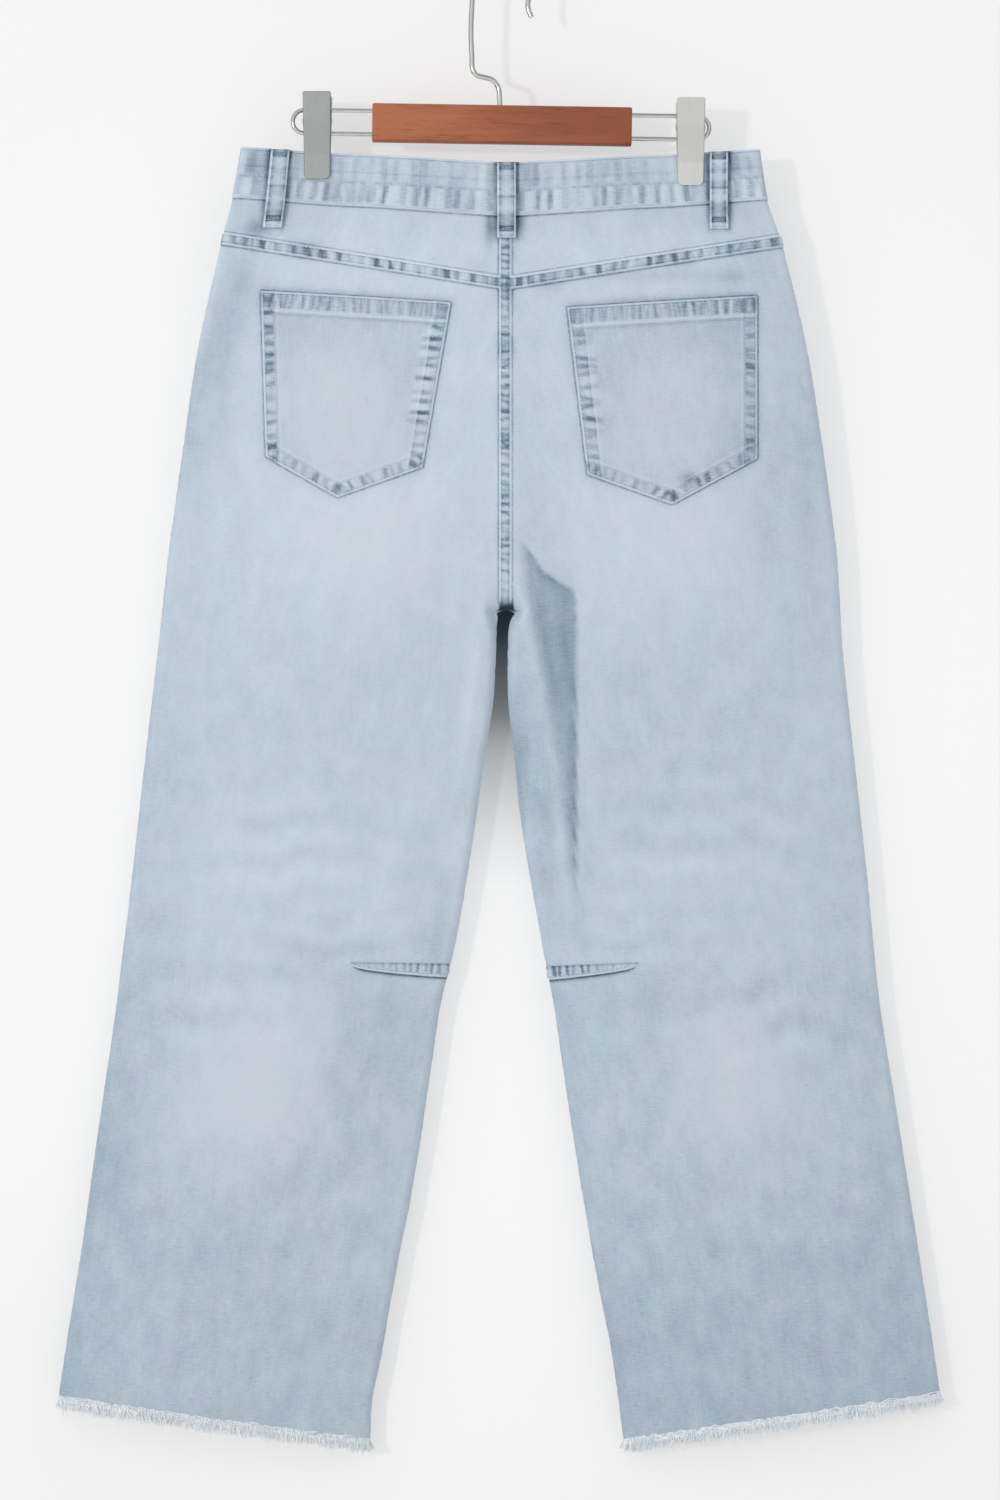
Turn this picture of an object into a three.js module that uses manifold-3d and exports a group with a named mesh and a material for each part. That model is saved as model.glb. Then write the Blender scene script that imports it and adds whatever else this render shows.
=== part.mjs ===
// Cropped wide-legged jeans hung by their waistband from a clip hanger.
//
// Millimetres, +Z up. The origin is the seat of the hook, where it rests on a rail. The wearer would
// face -Y, so the back of the jeans faces +Y and the wearer's left is +X. "left" and "right" are the
// wearer's. Every cloth piece is a wall cut from one skin: a flattened tube round the hips that parts
// into two flattened tubes, the legs.

import * as THREE from "three";
import { mergeVertices } from "three/addons/utils/BufferGeometryUtils.js";
import Module from "manifold-3d";

const wasm = await Module();
wasm.setup();

// ---------------------------------------------------------------- driving sizes

const SEAM_GAP = 0.3; // between two pieces that are sewn edge to edge
const LAY_GAP = 0.5; // under a piece that lies on another
const DENIM = 1.2; // wall of one layer of cloth
const SEAM_X = -4.2; // the jeans hang a little to the right of the hook

const BAND = { thick: 2.4, proud: 0.8 };
const BAND_LAP = { overEnd: -12, underEnd: 22, ramp: 18, lift: 1.4 };
const FRONT_DROP = { depth: 14, over: 340 }; // the waist is lower at the centre front, fading downwards
const CROTCH = { start: -452, bottom: -490, width: 9, wideAt: -440, wide: 24, legBy: -512 };
const CROWN_SHIFT = { start: -400, over: 160 }; // where the fullest place moves from the seam to mid-leg
const PINCH = { depth: 2.2, reachX: 34, reachZ: 78 };
const SCOOP = { across: 102, down: 92, under: 12, deeper: 0.8, foot: 1.06, crowd: 1.6 };
const POCKET_LIFT = LAY_GAP + DENIM;
const LOOP = { width: 14.2, thick: 2, rise: 2.6, rest: 0.8 };
const FRINGE = { reach: 11, thick: 0.9 };
const DART = { thick: 0.9, height: 10.5, tip: 0.8 };
const FLY = { edge: -10, width: 40, top: -206, height: 150, thick: 1, sweepFrom: 0.55, footWidth: 0.26 };
const BUTTON = { radius: 8.5, height: 3.2, x: 4, below: 19 };

const BAR = { long: 197.6, deep: 12, tall: 29, round: 2.5, x: -0.8, z: -120, tilt: -0.95 };
const RAIL = { radius: 1.7, apart: 17.8, end: 149.8, sunk: 14 };
const HOOK = { radius: 2, bend: 21.5, sweep: 196, sunk: 14 };
const CLIP = {
  width: 21.5,
  foot: 19.5,
  top: 21.5,
  bottom: -44,
  sheet: 1.5,
  grip: 3.55,
  corner: 4,
  nose: 1.5,
};
// How far a clip plate stands off its grip, by height above the pin.
const CLIP_BENDS = [
  { z: CLIP.top, off: 7.6 },
  { z: 0, off: 5.1 },
  { z: -14, off: 2.6 },
  { z: -26, off: 0 },
  { z: CLIP.bottom, off: 0 },
];
const CLIP_PIN = { radius: 1.4, head: 2.5, headThick: 0.9, ear: 4.4, earSheet: 1.2, earOut: 9, earIn: 7.2 };
const CLIP_SPRING = { inner: 1.9, outer: 3.6, half: 5.9 };

// Levels down each half. "centre" is the height of the level at the centre seam or inseam, "side" its
// height at the side seam, "out" and "in" the X of the side fold and of the inner fold, "edge" half the
// thickness at the folds and "crown" what is added in the middle.
const LEVELS = {
  left: [
    { centre: -150, side: -137.5, out: 197.6, in: SEAM_X, edge: 4.5, crown: 3.5 },
    { centre: -191, side: -176, out: 204.4, in: SEAM_X, edge: 5, crown: 4 },
    { centre: -242, side: -207, out: 212.4, in: SEAM_X, edge: 5.5, crown: 5 },
    { centre: -330, side: -290, out: 230.7, in: SEAM_X, edge: 6.5, crown: 7.5 },
    { centre: -410, side: -368, out: 242.4, in: SEAM_X, edge: 7, crown: 8.5 },
    { centre: -490, side: -448, out: 253.5, in: SEAM_X, edge: 7, crown: 8 },
    { centre: -530, side: -489, out: 258, in: 3.8, edge: 7, crown: 8 },
    { centre: -560, side: -520, out: 261.4, in: 6.1, edge: 7, crown: 7.5 },
    { centre: -600, side: -561, out: 266.2, in: 12.2, edge: 7, crown: 7.5 },
    { centre: -650, side: -612, out: 272.1, in: 21.3, edge: 7, crown: 7 },
    { centre: -740, side: -703, out: 282.3, in: 38, edge: 6.5, crown: 6.5 },
    { centre: -830, side: -794, out: 293.4, in: 51.3, edge: 6.5, crown: 6.5 },
    { centre: -920, side: -885, out: 306.7, in: 65.7, edge: 6, crown: 6 },
    { centre: -1010, side: -977, out: 319.2, in: 81.3, edge: 6, crown: 5.5 },
    { centre: -1121, side: -1088, out: 336.7, in: 98.8, edge: 6, crown: 5 },
  ],
  right: [
    { centre: -150, side: -139, out: -196.8, in: SEAM_X, edge: 4.5, crown: 3.5 },
    { centre: -191, side: -177.5, out: -202.9, in: SEAM_X, edge: 5, crown: 4 },
    { centre: -242, side: -209, out: -213.6, in: SEAM_X, edge: 5.5, crown: 5 },
    { centre: -330, side: -290, out: -232.9, in: SEAM_X, edge: 6.5, crown: 7.5 },
    { centre: -410, side: -368, out: -245.5, in: SEAM_X, edge: 7, crown: 8.5 },
    { centre: -490, side: -448, out: -256.1, in: SEAM_X, edge: 7, crown: 8 },
    { centre: -530, side: -489, out: -258.5, in: -5.2, edge: 7, crown: 8 },
    { centre: -560, side: -520, out: -260.3, in: -5.7, edge: 7, crown: 7.5 },
    { centre: -600, side: -561, out: -264.6, in: -9.9, edge: 7, crown: 7.5 },
    { centre: -650, side: -612, out: -270.2, in: -15.2, edge: 7, crown: 7 },
    { centre: -740, side: -703, out: -280.4, in: -31.2, edge: 6.5, crown: 6.5 },
    { centre: -830, side: -794, out: -289.6, in: -45.2, edge: 6.5, crown: 6.5 },
    { centre: -920, side: -885, out: -303.2, in: -58.9, edge: 6, crown: 6 },
    { centre: -1010, side: -977, out: -316.2, in: -73.7, edge: 6, crown: 5.5 },
    { centre: -1121, side: -1085, out: -333.6, in: -93, edge: 6, crown: 5 },
  ],
};

// The largest folds: soft troughs (depth below zero) and ridges, each along a nearly upright line.
const FOLDS = [
  { half: "right", face: "back", top: -455, foot: -765, xTop: -38, xFoot: -49, reach: 13, depth: -6.5 },
  { half: "right", face: "back", top: -470, foot: -800, xTop: -70, xFoot: -74, reach: 20, depth: 2 },
  { half: "left", face: "back", top: -640, foot: -775, xTop: 44, xFoot: 72, reach: 15, depth: -4 },
  { half: "left", face: "front", top: -470, foot: -780, xTop: 42, xFoot: 66, reach: 16, depth: -5 },
  { half: "right", face: "front", top: -500, foot: -760, xTop: -46, xFoot: -66, reach: 15, depth: -4 },
];

// Corners of the back pockets, from the mouth's outer corner round to the foot's.
const BACK_POCKETS = {
  left: {
    mouthOut: [182.4, -247.5],
    mouthIn: [38, -256.7],
    footIn: [59.3, -382],
    point: [123.9, -404.9],
    footOut: [178.6, -373.7],
  },
  right: {
    mouthOut: [-194.6, -251.3],
    mouthIn: [-50.2, -260.5],
    footIn: [-65.4, -387.4],
    point: [-130, -410.2],
    footOut: [-194.6, -375.2],
  },
};

// Belt loops, from the centre of the upper end to the centre of the lower end.
const BELT_LOOPS = [
  { name: "belt_loop_back", face: "back", top: [-4.2, -150], foot: [-4.2, -207.5] },
  { name: "belt_loop_back_left", face: "back", top: [168, -139.6], foot: [174, -199.5] },
  { name: "belt_loop_back_right", face: "back", top: [-166, -141.2], foot: [-166, -200.5] },
  { name: "belt_loop_front_left", face: "front", top: [92, -152], foot: [92, -210] },
  { name: "belt_loop_front_right", face: "front", top: [-100, -152], foot: [-100, -210] },
];

// Knee darts, from the inseam to the point.
const DARTS = {
  left: { from: [45.5, -767], to: [114, -758] },
  right: { from: [-37.5, -767], to: [-104, -757] },
};

// Each clip stands on the rails at x; z is the height of its pin there.
const CLIPS = {
  left: { x: 139.9, z: -117.7 },
  right: { x: -144.4, z: -122.4 },
};

// The hook's centre line as X and Z, from inside the bar up to its bend, and from the bend to the tip.
const HOOK_ROUTE = [
  [1, BAR.z + BAR.tall / 2 - HOOK.sunk],
  [1, -110],
  [1, -101],
  [2.2, -91.5],
  [6.5, -85.8],
  [13, -83.8],
  [18.5, -82.2],
  [21.6, -77.5],
  [22.2, -68],
  [22.9, -50],
  [22.4, -34],
];
const HOOK_TIP = [
  [-20.6, -31],
  [-23, -37.5],
];

// Rows of the cloth walls, as heights of the centre end of each level.
const BAND_ROWS = [-150, -170, -191];
const YOKE_ROWS = [-191, -216, -242];
const TORSO_ROWS = [-242, -290, -340, -390, -430, -452, -466, -478, -486, -490];
const LEG_ROWS = [-490, -498, -512, -535, -570, -620, -680, -740, -800, -870, -950, -1035, -1121];
const SCOOP_ROWS = [0, 0.3, 0.55, 0.75, 0.88, 0.95, 0.985, 1]; // as shares of the pocket mouth's drop
const LAP_EASE = 4;
const BAND_STOPS = [0.33, 0.67, 1, 1.07, 1.14, 1.21, 1.28, 1.35, 1.42, 1.5, 1.6, 1.74, 1.89];
const FOLD_STEPS = 3;
const FLAT_STOPS = [0.17, 0.34, 0.5, 0.64, 0.76, 0.86, 0.93, 1];
const INNER_STEPS = 4;

// ---------------------------------------------------------------- materials

function material(color, roughness, metalness) {
  return new THREE.MeshStandardMaterial({ color, roughness, metalness });
}

const denim = () => material(0xbccad8, 0.9, 0);
const denimSeam = () => material(0xb2c3d2, 0.9, 0);
const fringeCotton = () => material(0xd3dbe2, 0.95, 0);
const wood = () => material(0xa1624a, 0.45, 0);
const wire = () => material(0xc6c6c2, 0.25, 1);
const clipSteel = () => material(0xb4b5b0, 0.35, 1);
const buttonMetal = () => material(0x9a9b98, 0.4, 1);

// ---------------------------------------------------------------- small helpers

const signOf = { left: 1, right: -1, back: 1, front: -1 };
const mix = (from, to, share) => from + (to - from) * share;
const clamp01 = (value) => Math.min(1, Math.max(0, value));
const soft = (value) => clamp01(value) ** 2 * (3 - 2 * clamp01(value));
const point = (x, y, z) => new THREE.Vector3(x, y, z);

const group = new THREE.Group();

function addMesh(name, geometry, surface, parent = group) {
  const mesh = new THREE.Mesh(geometry, surface);
  mesh.name = name;
  parent.add(mesh);
  return mesh;
}

function toSolid(geometry) {
  const bare = geometry.index ? geometry.toNonIndexed() : geometry.clone();
  bare.deleteAttribute("normal");
  bare.deleteAttribute("uv");
  const merged = mergeVertices(bare, 1e-4);
  const vertProperties = new Float32Array(merged.attributes.position.array);
  const triVerts = new Uint32Array(merged.index.array);
  return new wasm.Manifold(new wasm.Mesh({ numProp: 3, vertProperties, triVerts }));
}

function toGeometry(solid) {
  const mesh = solid.getMesh();
  const geometry = new THREE.BufferGeometry();
  geometry.setAttribute("position", new THREE.BufferAttribute(mesh.vertProperties, 3));
  geometry.setIndex(new THREE.BufferAttribute(mesh.triVerts, 1));
  return geometry;
}

function signedVolume(corners, triangles) {
  let volume = 0;
  for (let at = 0; at < triangles.length; at += 3) {
    const [a, b, c] = [0, 1, 2].map((step) => corners[triangles[at + step]]);
    volume += a.dot(b.clone().cross(c)) / 6;
  }
  return volume;
}

// A closed wall between two grids of points. rows[j][i] holds { outer, inner }; a wall that runs all
// round joins its last column to its first.
function wallGeometry(rows, allRound = false) {
  const columns = rows[0].length;
  const lastRow = rows.length - 1;
  const corners = [];
  for (const row of rows) {
    for (const place of row) {
      corners.push(place.outer, place.inner);
    }
  }
  const outer = (j, i) => 2 * (j * columns + (i % columns));
  const inner = (j, i) => outer(j, i) + 1;
  const triangles = [];
  const quad = (a, b, c, d) => triangles.push(a, b, c, a, c, d);
  const spans = allRound ? columns : columns - 1;
  for (let j = 0; j < lastRow; j += 1) {
    for (let i = 0; i < spans; i += 1) {
      quad(outer(j, i), outer(j + 1, i), outer(j + 1, i + 1), outer(j, i + 1));
      quad(inner(j, i), inner(j, i + 1), inner(j + 1, i + 1), inner(j + 1, i));
    }
  }
  for (let i = 0; i < spans; i += 1) {
    quad(outer(0, i), outer(0, i + 1), inner(0, i + 1), inner(0, i));
    quad(outer(lastRow, i), inner(lastRow, i), inner(lastRow, i + 1), outer(lastRow, i + 1));
  }
  if (!allRound) {
    const last = columns - 1;
    for (let j = 0; j < lastRow; j += 1) {
      quad(outer(j, 0), inner(j, 0), inner(j + 1, 0), outer(j + 1, 0));
      quad(outer(j, last), outer(j + 1, last), inner(j + 1, last), inner(j, last));
    }
  }
  if (signedVolume(corners, triangles) < 0) {
    triangles.reverse();
  }
  const geometry = new THREE.BufferGeometry().setFromPoints(corners);
  geometry.setIndex(triangles);
  return geometry;
}

// ---------------------------------------------------------------- the skin

// One column of a half's level table at any height, as a smooth curve through the rows.
function levelValue(rows, key, centre) {
  const height = Math.min(rows[0].centre, Math.max(rows[rows.length - 1].centre, centre));
  let k = 0;
  while (k < rows.length - 2 && rows[k + 1].centre > height) {
    k += 1;
  }
  const slope = (a, b) => (rows[b][key] - rows[a][key]) / (rows[b].centre - rows[a].centre);
  const from = rows[k];
  const to = rows[k + 1];
  const span = to.centre - from.centre;
  const share = (height - from.centre) / span;
  const slopeFrom = k > 0 ? slope(k - 1, k + 1) : slope(k, k + 1);
  const slopeTo = k < rows.length - 2 ? slope(k, k + 2) : slope(k, k + 1);
  const square = share * share;
  const cube = square * share;
  return (
    (2 * cube - 3 * square + 1) * from[key] +
    (cube - 2 * square + share) * span * slopeFrom +
    (3 * square - 2 * cube) * to[key] +
    (cube - square) * span * slopeTo
  );
}

function levelAt(half, centre) {
  const rows = LEVELS[half];
  const level = { centre, half };
  for (const key of ["side", "out", "in", "edge", "crown"]) {
    level[key] = levelValue(rows, key, centre);
  }
  if (centre >= CROTCH.bottom) {
    level.in = SEAM_X;
  }
  level.leg = soft((CROTCH.bottom - centre) / (CROTCH.bottom - CROTCH.legBy));
  const toCrotch = soft((CROTCH.wideAt - centre) / (CROTCH.wideAt - CROTCH.bottom));
  level.innerWidth = mix(mix(CROTCH.wide, CROTCH.width, toCrotch), level.edge, level.leg);
  const down = clamp01((CROTCH.start - centre) / (CROTCH.start - CROTCH.bottom));
  level.seamDepth = Math.sqrt(1 - down * down); // share of the full depth that the centre seam keeps
  level.sign = signOf[half];
  level.foldLength = (level.edge * Math.PI) / 2;
  level.flatLength = Math.abs(level.out - level.in) - level.edge - level.innerWidth;
  level.innerLength = mix(level.innerWidth, (level.innerWidth * Math.PI) / 2, level.leg);
  level.length = level.foldLength + level.flatLength + level.innerLength;
  return level;
}

// Height of a level at x. The front hangs lower than the back towards the centre of the waist.
function levelHeight(level, face, x) {
  const share = clamp01((level.out - x) / (level.out - level.in));
  const high = (level.centre - CROTCH.bottom) / FRONT_DROP.over;
  const drop = face === "front" ? FRONT_DROP.depth * soft(high) : 0;
  return mix(level.side, level.centre, share) - drop * soft(share);
}

function foldsAt(half, face, x, z) {
  let height = 0;
  for (const fold of FOLDS) {
    if (fold.half === half && fold.face === face && z < fold.top && z > fold.foot) {
      const down = (fold.top - z) / (fold.top - fold.foot);
      const across = (x - mix(fold.xTop, fold.xFoot, down)) / fold.reach;
      height += fold.depth * Math.exp(-across * across) * soft(down * 5) * soft((1 - down) * 2);
    }
  }
  return height;
}

// Depth of the cloth's outer surface from the plane between front and back, away from the folds.
function depthAt(level, face, x) {
  const across = clamp01((x - level.in) / (level.out - level.in));
  const torso = Math.cos((across * Math.PI) / 2) ** 0.7;
  const leg = Math.sin(across * Math.PI) ** 0.8;
  const legShare = soft((CROWN_SHIFT.start - level.centre) / CROWN_SHIFT.over);
  const full = level.edge + level.crown * mix(torso, leg, legShare);
  const clip = CLIPS[level.half];
  const besideClip = Math.exp(-(((x - clip.x) / PINCH.reachX) ** 4));
  const underWaist = (LEVELS[level.half][0].centre - level.centre) / PINCH.reachZ;
  const pinch = besideClip * Math.exp(-(underWaist ** 4));
  const z = levelHeight(level, face, x);
  return mix(full, PINCH.depth, pinch) + foldsAt(level.half, face, x, z);
}

// A point of the outer surface, "along" millimetres from the side seam.
function skinPoint(half, face, centre, along) {
  const level = levelAt(half, centre);
  const sign = level.sign;
  const towards = signOf[face];
  const place = (x, share) => {
    const y = share * depthAt(level, face, x) * towards;
    return point(x, y, levelHeight(level, face, x));
  };
  if (along < level.foldLength) {
    const turn = along / level.edge;
    const x = level.out - sign * level.edge * (1 - Math.cos(turn));
    return place(x, Math.sin(turn));
  }
  const pastFold = along - level.foldLength;
  if (pastFold <= level.flatLength) {
    return place(level.out - sign * (level.edge + pastFold), 1);
  }
  const share = clamp01((pastFold - level.flatLength) / level.innerLength);
  const valley = place(
    level.in + sign * level.innerWidth * (1 - share),
    mix(1, level.seamDepth, soft(share)),
  );
  const quarter = (share * Math.PI) / 2;
  const fold = place(level.in + sign * level.innerWidth * (1 - Math.sin(quarter)), Math.cos(quarter));
  return valley.lerp(fold, level.leg);
}

// The outward normal there. On a seam it lies in the plane that both sides share.
function skinNormal(half, face, centre, along) {
  const level = levelAt(half, centre);
  const step = 0.6;
  const before = Math.max(0, along - step);
  const after = Math.min(level.length, along + step);
  const across = skinPoint(half, face, centre, after).sub(skinPoint(half, face, centre, before));
  const share = along / level.length;
  const upper = Math.min(LEVELS[half][0].centre, centre + 2);
  const lower = centre - 2;
  const down = skinPoint(half, face, lower, share * levelAt(half, lower).length).sub(
    skinPoint(half, face, upper, share * levelAt(half, upper).length),
  );
  const normal = down.cross(across).multiplyScalar(signOf[half] * signOf[face]);
  const atSide = along < 1e-6;
  const atInner = along > level.length - 1e-6;
  if (atSide || (atInner && centre <= CROTCH.bottom)) {
    normal.y = 0;
  }
  if (atInner && centre >= CROTCH.bottom) {
    normal.x = 0;
  }
  return normal.normalize();
}

// The wall's two points at a place on the skin: "lift" is how far its outer face stands off the skin.
function wallPlace(half, face, centre, along, lift, thick) {
  const level = levelAt(half, centre);
  const at = skinPoint(half, face, centre, along);
  const normal = skinNormal(half, face, centre, along);
  const shift = point(0, 0, 0);
  const atInner = along > level.length - 1e-6;
  if (along < 1e-6 || (atInner && centre <= CROTCH.bottom)) {
    shift.y = (signOf[face] * SEAM_GAP) / 2;
  }
  if (atInner && centre >= CROTCH.bottom) {
    shift.x = (signOf[half] * SEAM_GAP) / 2;
  }
  return {
    outer: at.clone().addScaledVector(normal, lift).add(shift),
    inner: at.clone().addScaledVector(normal, lift - thick).add(shift),
  };
}

// Columns across a level, as distances from the side seam.
function columnsOf(level) {
  const columns = [];
  for (let step = 0; step <= FOLD_STEPS; step += 1) {
    columns.push((level.foldLength * step) / FOLD_STEPS);
  }
  for (const stop of FLAT_STOPS) {
    columns.push(level.foldLength + level.flatLength * stop);
  }
  for (let step = 1; step <= INNER_STEPS; step += 1) {
    columns.push(level.foldLength + level.flatLength + (level.innerLength * step) / INNER_STEPS);
  }
  columns[columns.length - 1] = level.length;
  return columns;
}

// Moves the ends of a wall's first and last rows back from the seam.
function openSeams(rows, topGap, footGap) {
  const ease = (edge, next, gap) => {
    edge.forEach((place, i) => {
      for (const side of ["outer", "inner"]) {
        const away = next[i][side].clone().sub(place[side]).setLength(gap);
        place[side].add(away);
      }
    });
  };
  ease(rows[0], rows[1], topGap);
  ease(rows[rows.length - 1], rows[rows.length - 2], footGap);
  return rows;
}

// A panel wall over the given levels. "startOf" gives where each level begins, from the side seam.
function panelRows(half, face, centres, startOf = () => 0) {
  return centres.map((centre) => {
    const level = levelAt(half, centre);
    const start = startOf(centre);
    return columnsOf(level).map((along) => {
      const place = start + ((level.length - start) * along) / level.length;
      return wallPlace(half, face, centre, place, 0, DENIM);
    });
  });
}

// ---------------------------------------------------------------- panels, yokes and facings

function backPanel(half) {
  const rows = panelRows(half, "back", [...TORSO_ROWS, ...LEG_ROWS.slice(1)]);
  return wallGeometry(openSeams(rows, SEAM_GAP / 2, SEAM_GAP / 2));
}

function yoke(half) {
  const rows = panelRows(half, "back", YOKE_ROWS);
  return wallGeometry(openSeams(rows, SEAM_GAP / 2, SEAM_GAP / 2));
}

// Distance of the pocket's mouth from the side seam, at a share of its drop.
function mouthAt(share) {
  return SCOOP.across * clamp01(1 - share ** 1.6) ** 0.8;
}

function frontPanel(half) {
  const top = BAND_ROWS[BAND_ROWS.length - 1];
  const scoopRows = SCOOP_ROWS.map((share) => top - share * SCOOP.down);
  const lower = TORSO_ROWS.filter((centre) => centre < top - SCOOP.down);
  const rows = panelRows(half, "front", [...scoopRows, ...lower, ...LEG_ROWS.slice(1)], (centre) =>
    mouthAt((top - centre) / SCOOP.down),
  );
  return wallGeometry(openSeams(rows, SEAM_GAP / 2, SEAM_GAP / 2));
}

// The facing fills the pocket's mouth, one layer deeper than the front.
function pocketFacing(half) {
  const top = BAND_ROWS[BAND_ROWS.length - 1];
  const steps = 6;
  const across = 7;
  const deeper = DENIM + SCOOP.deeper;
  const reach = 1 + SCOOP.under / SCOOP.down;
  const rows = [];
  for (let j = 0; j <= steps; j += 1) {
    const share = (j / steps) * SCOOP.foot;
    const centre = top - share * SCOOP.down;
    const width = (mouthAt(share / reach) / SCOOP.across) * (SCOOP.across + SCOOP.under);
    const row = [];
    for (let i = 0; i <= across; i += 1) {
      row.push(wallPlace(half, "front", centre, width * (i / across) ** SCOOP.crowd, -deeper, DENIM));
    }
    rows.push(row);
  }
  return wallGeometry(openSeams(rows, SEAM_GAP / 2, SEAM_GAP / 2));
}

for (const half of ["left", "right"]) {
  addMesh(`back_${half}`, backPanel(half), denim());
  addMesh(`yoke_${half}`, yoke(half), denim());
  addMesh(`front_${half}`, frontPanel(half), denim());
  addMesh(`pocket_facing_${half}`, pocketFacing(half), denim());
}

// ---------------------------------------------------------------- pieces that lie on the skin

// The centre height of the level that passes through x and z.
function centreThrough(half, face, x, z) {
  let high = LEVELS[half][0].centre + 30;
  let low = LEVELS[half][LEVELS[half].length - 1].centre;
  for (let turn = 0; turn < 40; turn += 1) {
    const middle = (high + low) / 2;
    if (levelHeight(levelAt(half, middle), face, x) > z) {
      high = middle;
    } else {
      low = middle;
    }
  }
  return (high + low) / 2;
}

// How far along a level from the side seam x is.
function alongAt(level, x) {
  const fromSide = Math.abs(level.out - x);
  const fromInner = Math.abs(x - level.in);
  if (fromInner >= level.innerWidth) {
    return level.foldLength + fromSide - level.edge;
  }
  const near = 1 - fromInner / level.innerWidth;
  const share = mix(near, (Math.asin(near) * 2) / Math.PI, level.leg);
  return level.foldLength + level.flatLength + share * level.innerLength;
}

// A wall place over x and z, anywhere but on the side fold.
function placeOver(face, x, z, lift, thick) {
  const half = x >= SEAM_X ? "left" : "right";
  const centre = Math.min(LEVELS[half][0].centre, centreThrough(half, face, x, z));
  const along = alongAt(levelAt(half, centre), x);
  const at = skinPoint(half, face, centre, along);
  const normal = skinNormal(half, face, centre, along);
  return {
    outer: at.clone().addScaledVector(normal, lift),
    inner: at.clone().addScaledVector(normal, lift - thick),
  };
}

// A patch pocket: straight mouth and sides, and a foot with a point.
function backPocket(corners) {
  const across = [0, 0.12, 0.28, 0.44, 0.58, 0.72, 0.86, 1];
  const pointAt = 0.44;
  const down = [0, 0.14, 0.3, 0.48, 0.66, 0.84, 1];
  const between = (from, to, share) => [mix(from[0], to[0], share), mix(from[1], to[1], share)];
  const rows = down.map((drop) =>
    across.map((share) => {
      const mouth = between(corners.mouthOut, corners.mouthIn, share);
      const foot =
        share < pointAt
          ? between(corners.footOut, corners.point, share / pointAt)
          : between(corners.point, corners.footIn, (share - pointAt) / (1 - pointAt));
      const [x, z] = between(mouth, foot, drop);
      return placeOver("back", x, z, POCKET_LIFT, DENIM);
    }),
  );
  return wallGeometry(rows);
}

// A dart's folded allowance, tallest at the inseam and running out to a point.
function kneeDart({ from, to }) {
  const stops = [0, 0.02, 0.05, 0.1, 0.25, 0.45, 0.7, 1];
  const rows = [0, 0.5, 1].map((share) =>
    stops.map((out) => {
      const height = DART.height * (1 - out) ** 0.7 + DART.tip;
      const x = mix(from[0], to[0], out);
      const z = mix(from[1], to[1], out) + height * (0.5 - share);
      return placeOver("back", x, z, LAY_GAP + DART.thick, DART.thick);
    }),
  );
  return wallGeometry(rows);
}

// A belt loop is held down at both ends and stands off the band between them.
function beltLoop({ face, top, foot }) {
  const steps = [0, 0.08, 0.2, 0.35, 0.5, 0.65, 0.78, 0.9, 1];
  const onBand = BAND.proud + LOOP.rest;
  const rows = steps.map((down) => {
    const x = mix(top[0], foot[0], down);
    const z = mix(top[1], foot[1], down);
    const rest = mix(onBand, LOOP.rest, soft((down - 0.75) / 0.25));
    const under = rest + LOOP.rise * Math.sin(Math.PI * down) ** 0.7;
    return [-0.5, 0, 0.5].map((side) =>
      placeOver(face, x + side * LOOP.width, z, under + LOOP.thick, LOOP.thick),
    );
  });
  return wallGeometry(rows);
}

// The fly: its straight edge just past the centre front, its foot swept up in a curve.
function flyFlap() {
  const down = [0, 0.2, 0.4, 0.6, 0.75, 0.87, 0.95, 1];
  const across = [0, 0.3, 0.65, 1];
  const rows = down.map((drop) => {
    const swept = soft((drop - FLY.sweepFrom) / (1 - FLY.sweepFrom));
    const width = FLY.width * Math.sqrt(1 - (1 - FLY.footWidth ** 2) * swept ** 2);
    const z = FLY.top - FLY.height * drop;
    return across.map((share) =>
      placeOver("front", FLY.edge + width * share, z, LAY_GAP + FLY.thick, FLY.thick),
    );
  });
  return wallGeometry(rows);
}

for (const half of ["left", "right"]) {
  addMesh(`back_pocket_${half}`, backPocket(BACK_POCKETS[half]), denim());
  addMesh(`knee_dart_${half}`, kneeDart(DARTS[half]), denimSeam());
}
for (const loop of BELT_LOOPS) {
  addMesh(loop.name, beltLoop(loop), denimSeam());
}
addMesh("fly", flyFlap(), denim());

// ---------------------------------------------------------------- waistband

// A column of the band: on a quarter of the band, at "stop" (0 to 1 round the side fold, 1 to 2 along
// the flat to the centre), or at x.
function bandPlace({ half, face, stop, x, push = 0 }, centre) {
  const side = half ?? (x >= SEAM_X ? "left" : "right");
  const level = levelAt(side, centre);
  const onFlat = level.foldLength + (level.flatLength + level.innerLength) * (stop - 1);
  const along = x === undefined ? (stop < 1 ? level.foldLength * stop : onFlat) : alongAt(level, x);
  const at = skinPoint(side, face, centre, along);
  const normal = skinNormal(side, face, centre, along);
  const lift = BAND.proud + push;
  return {
    outer: at.clone().addScaledVector(normal, lift),
    inner: at.clone().addScaledVector(normal, lift - BAND.thick),
  };
}

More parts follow.
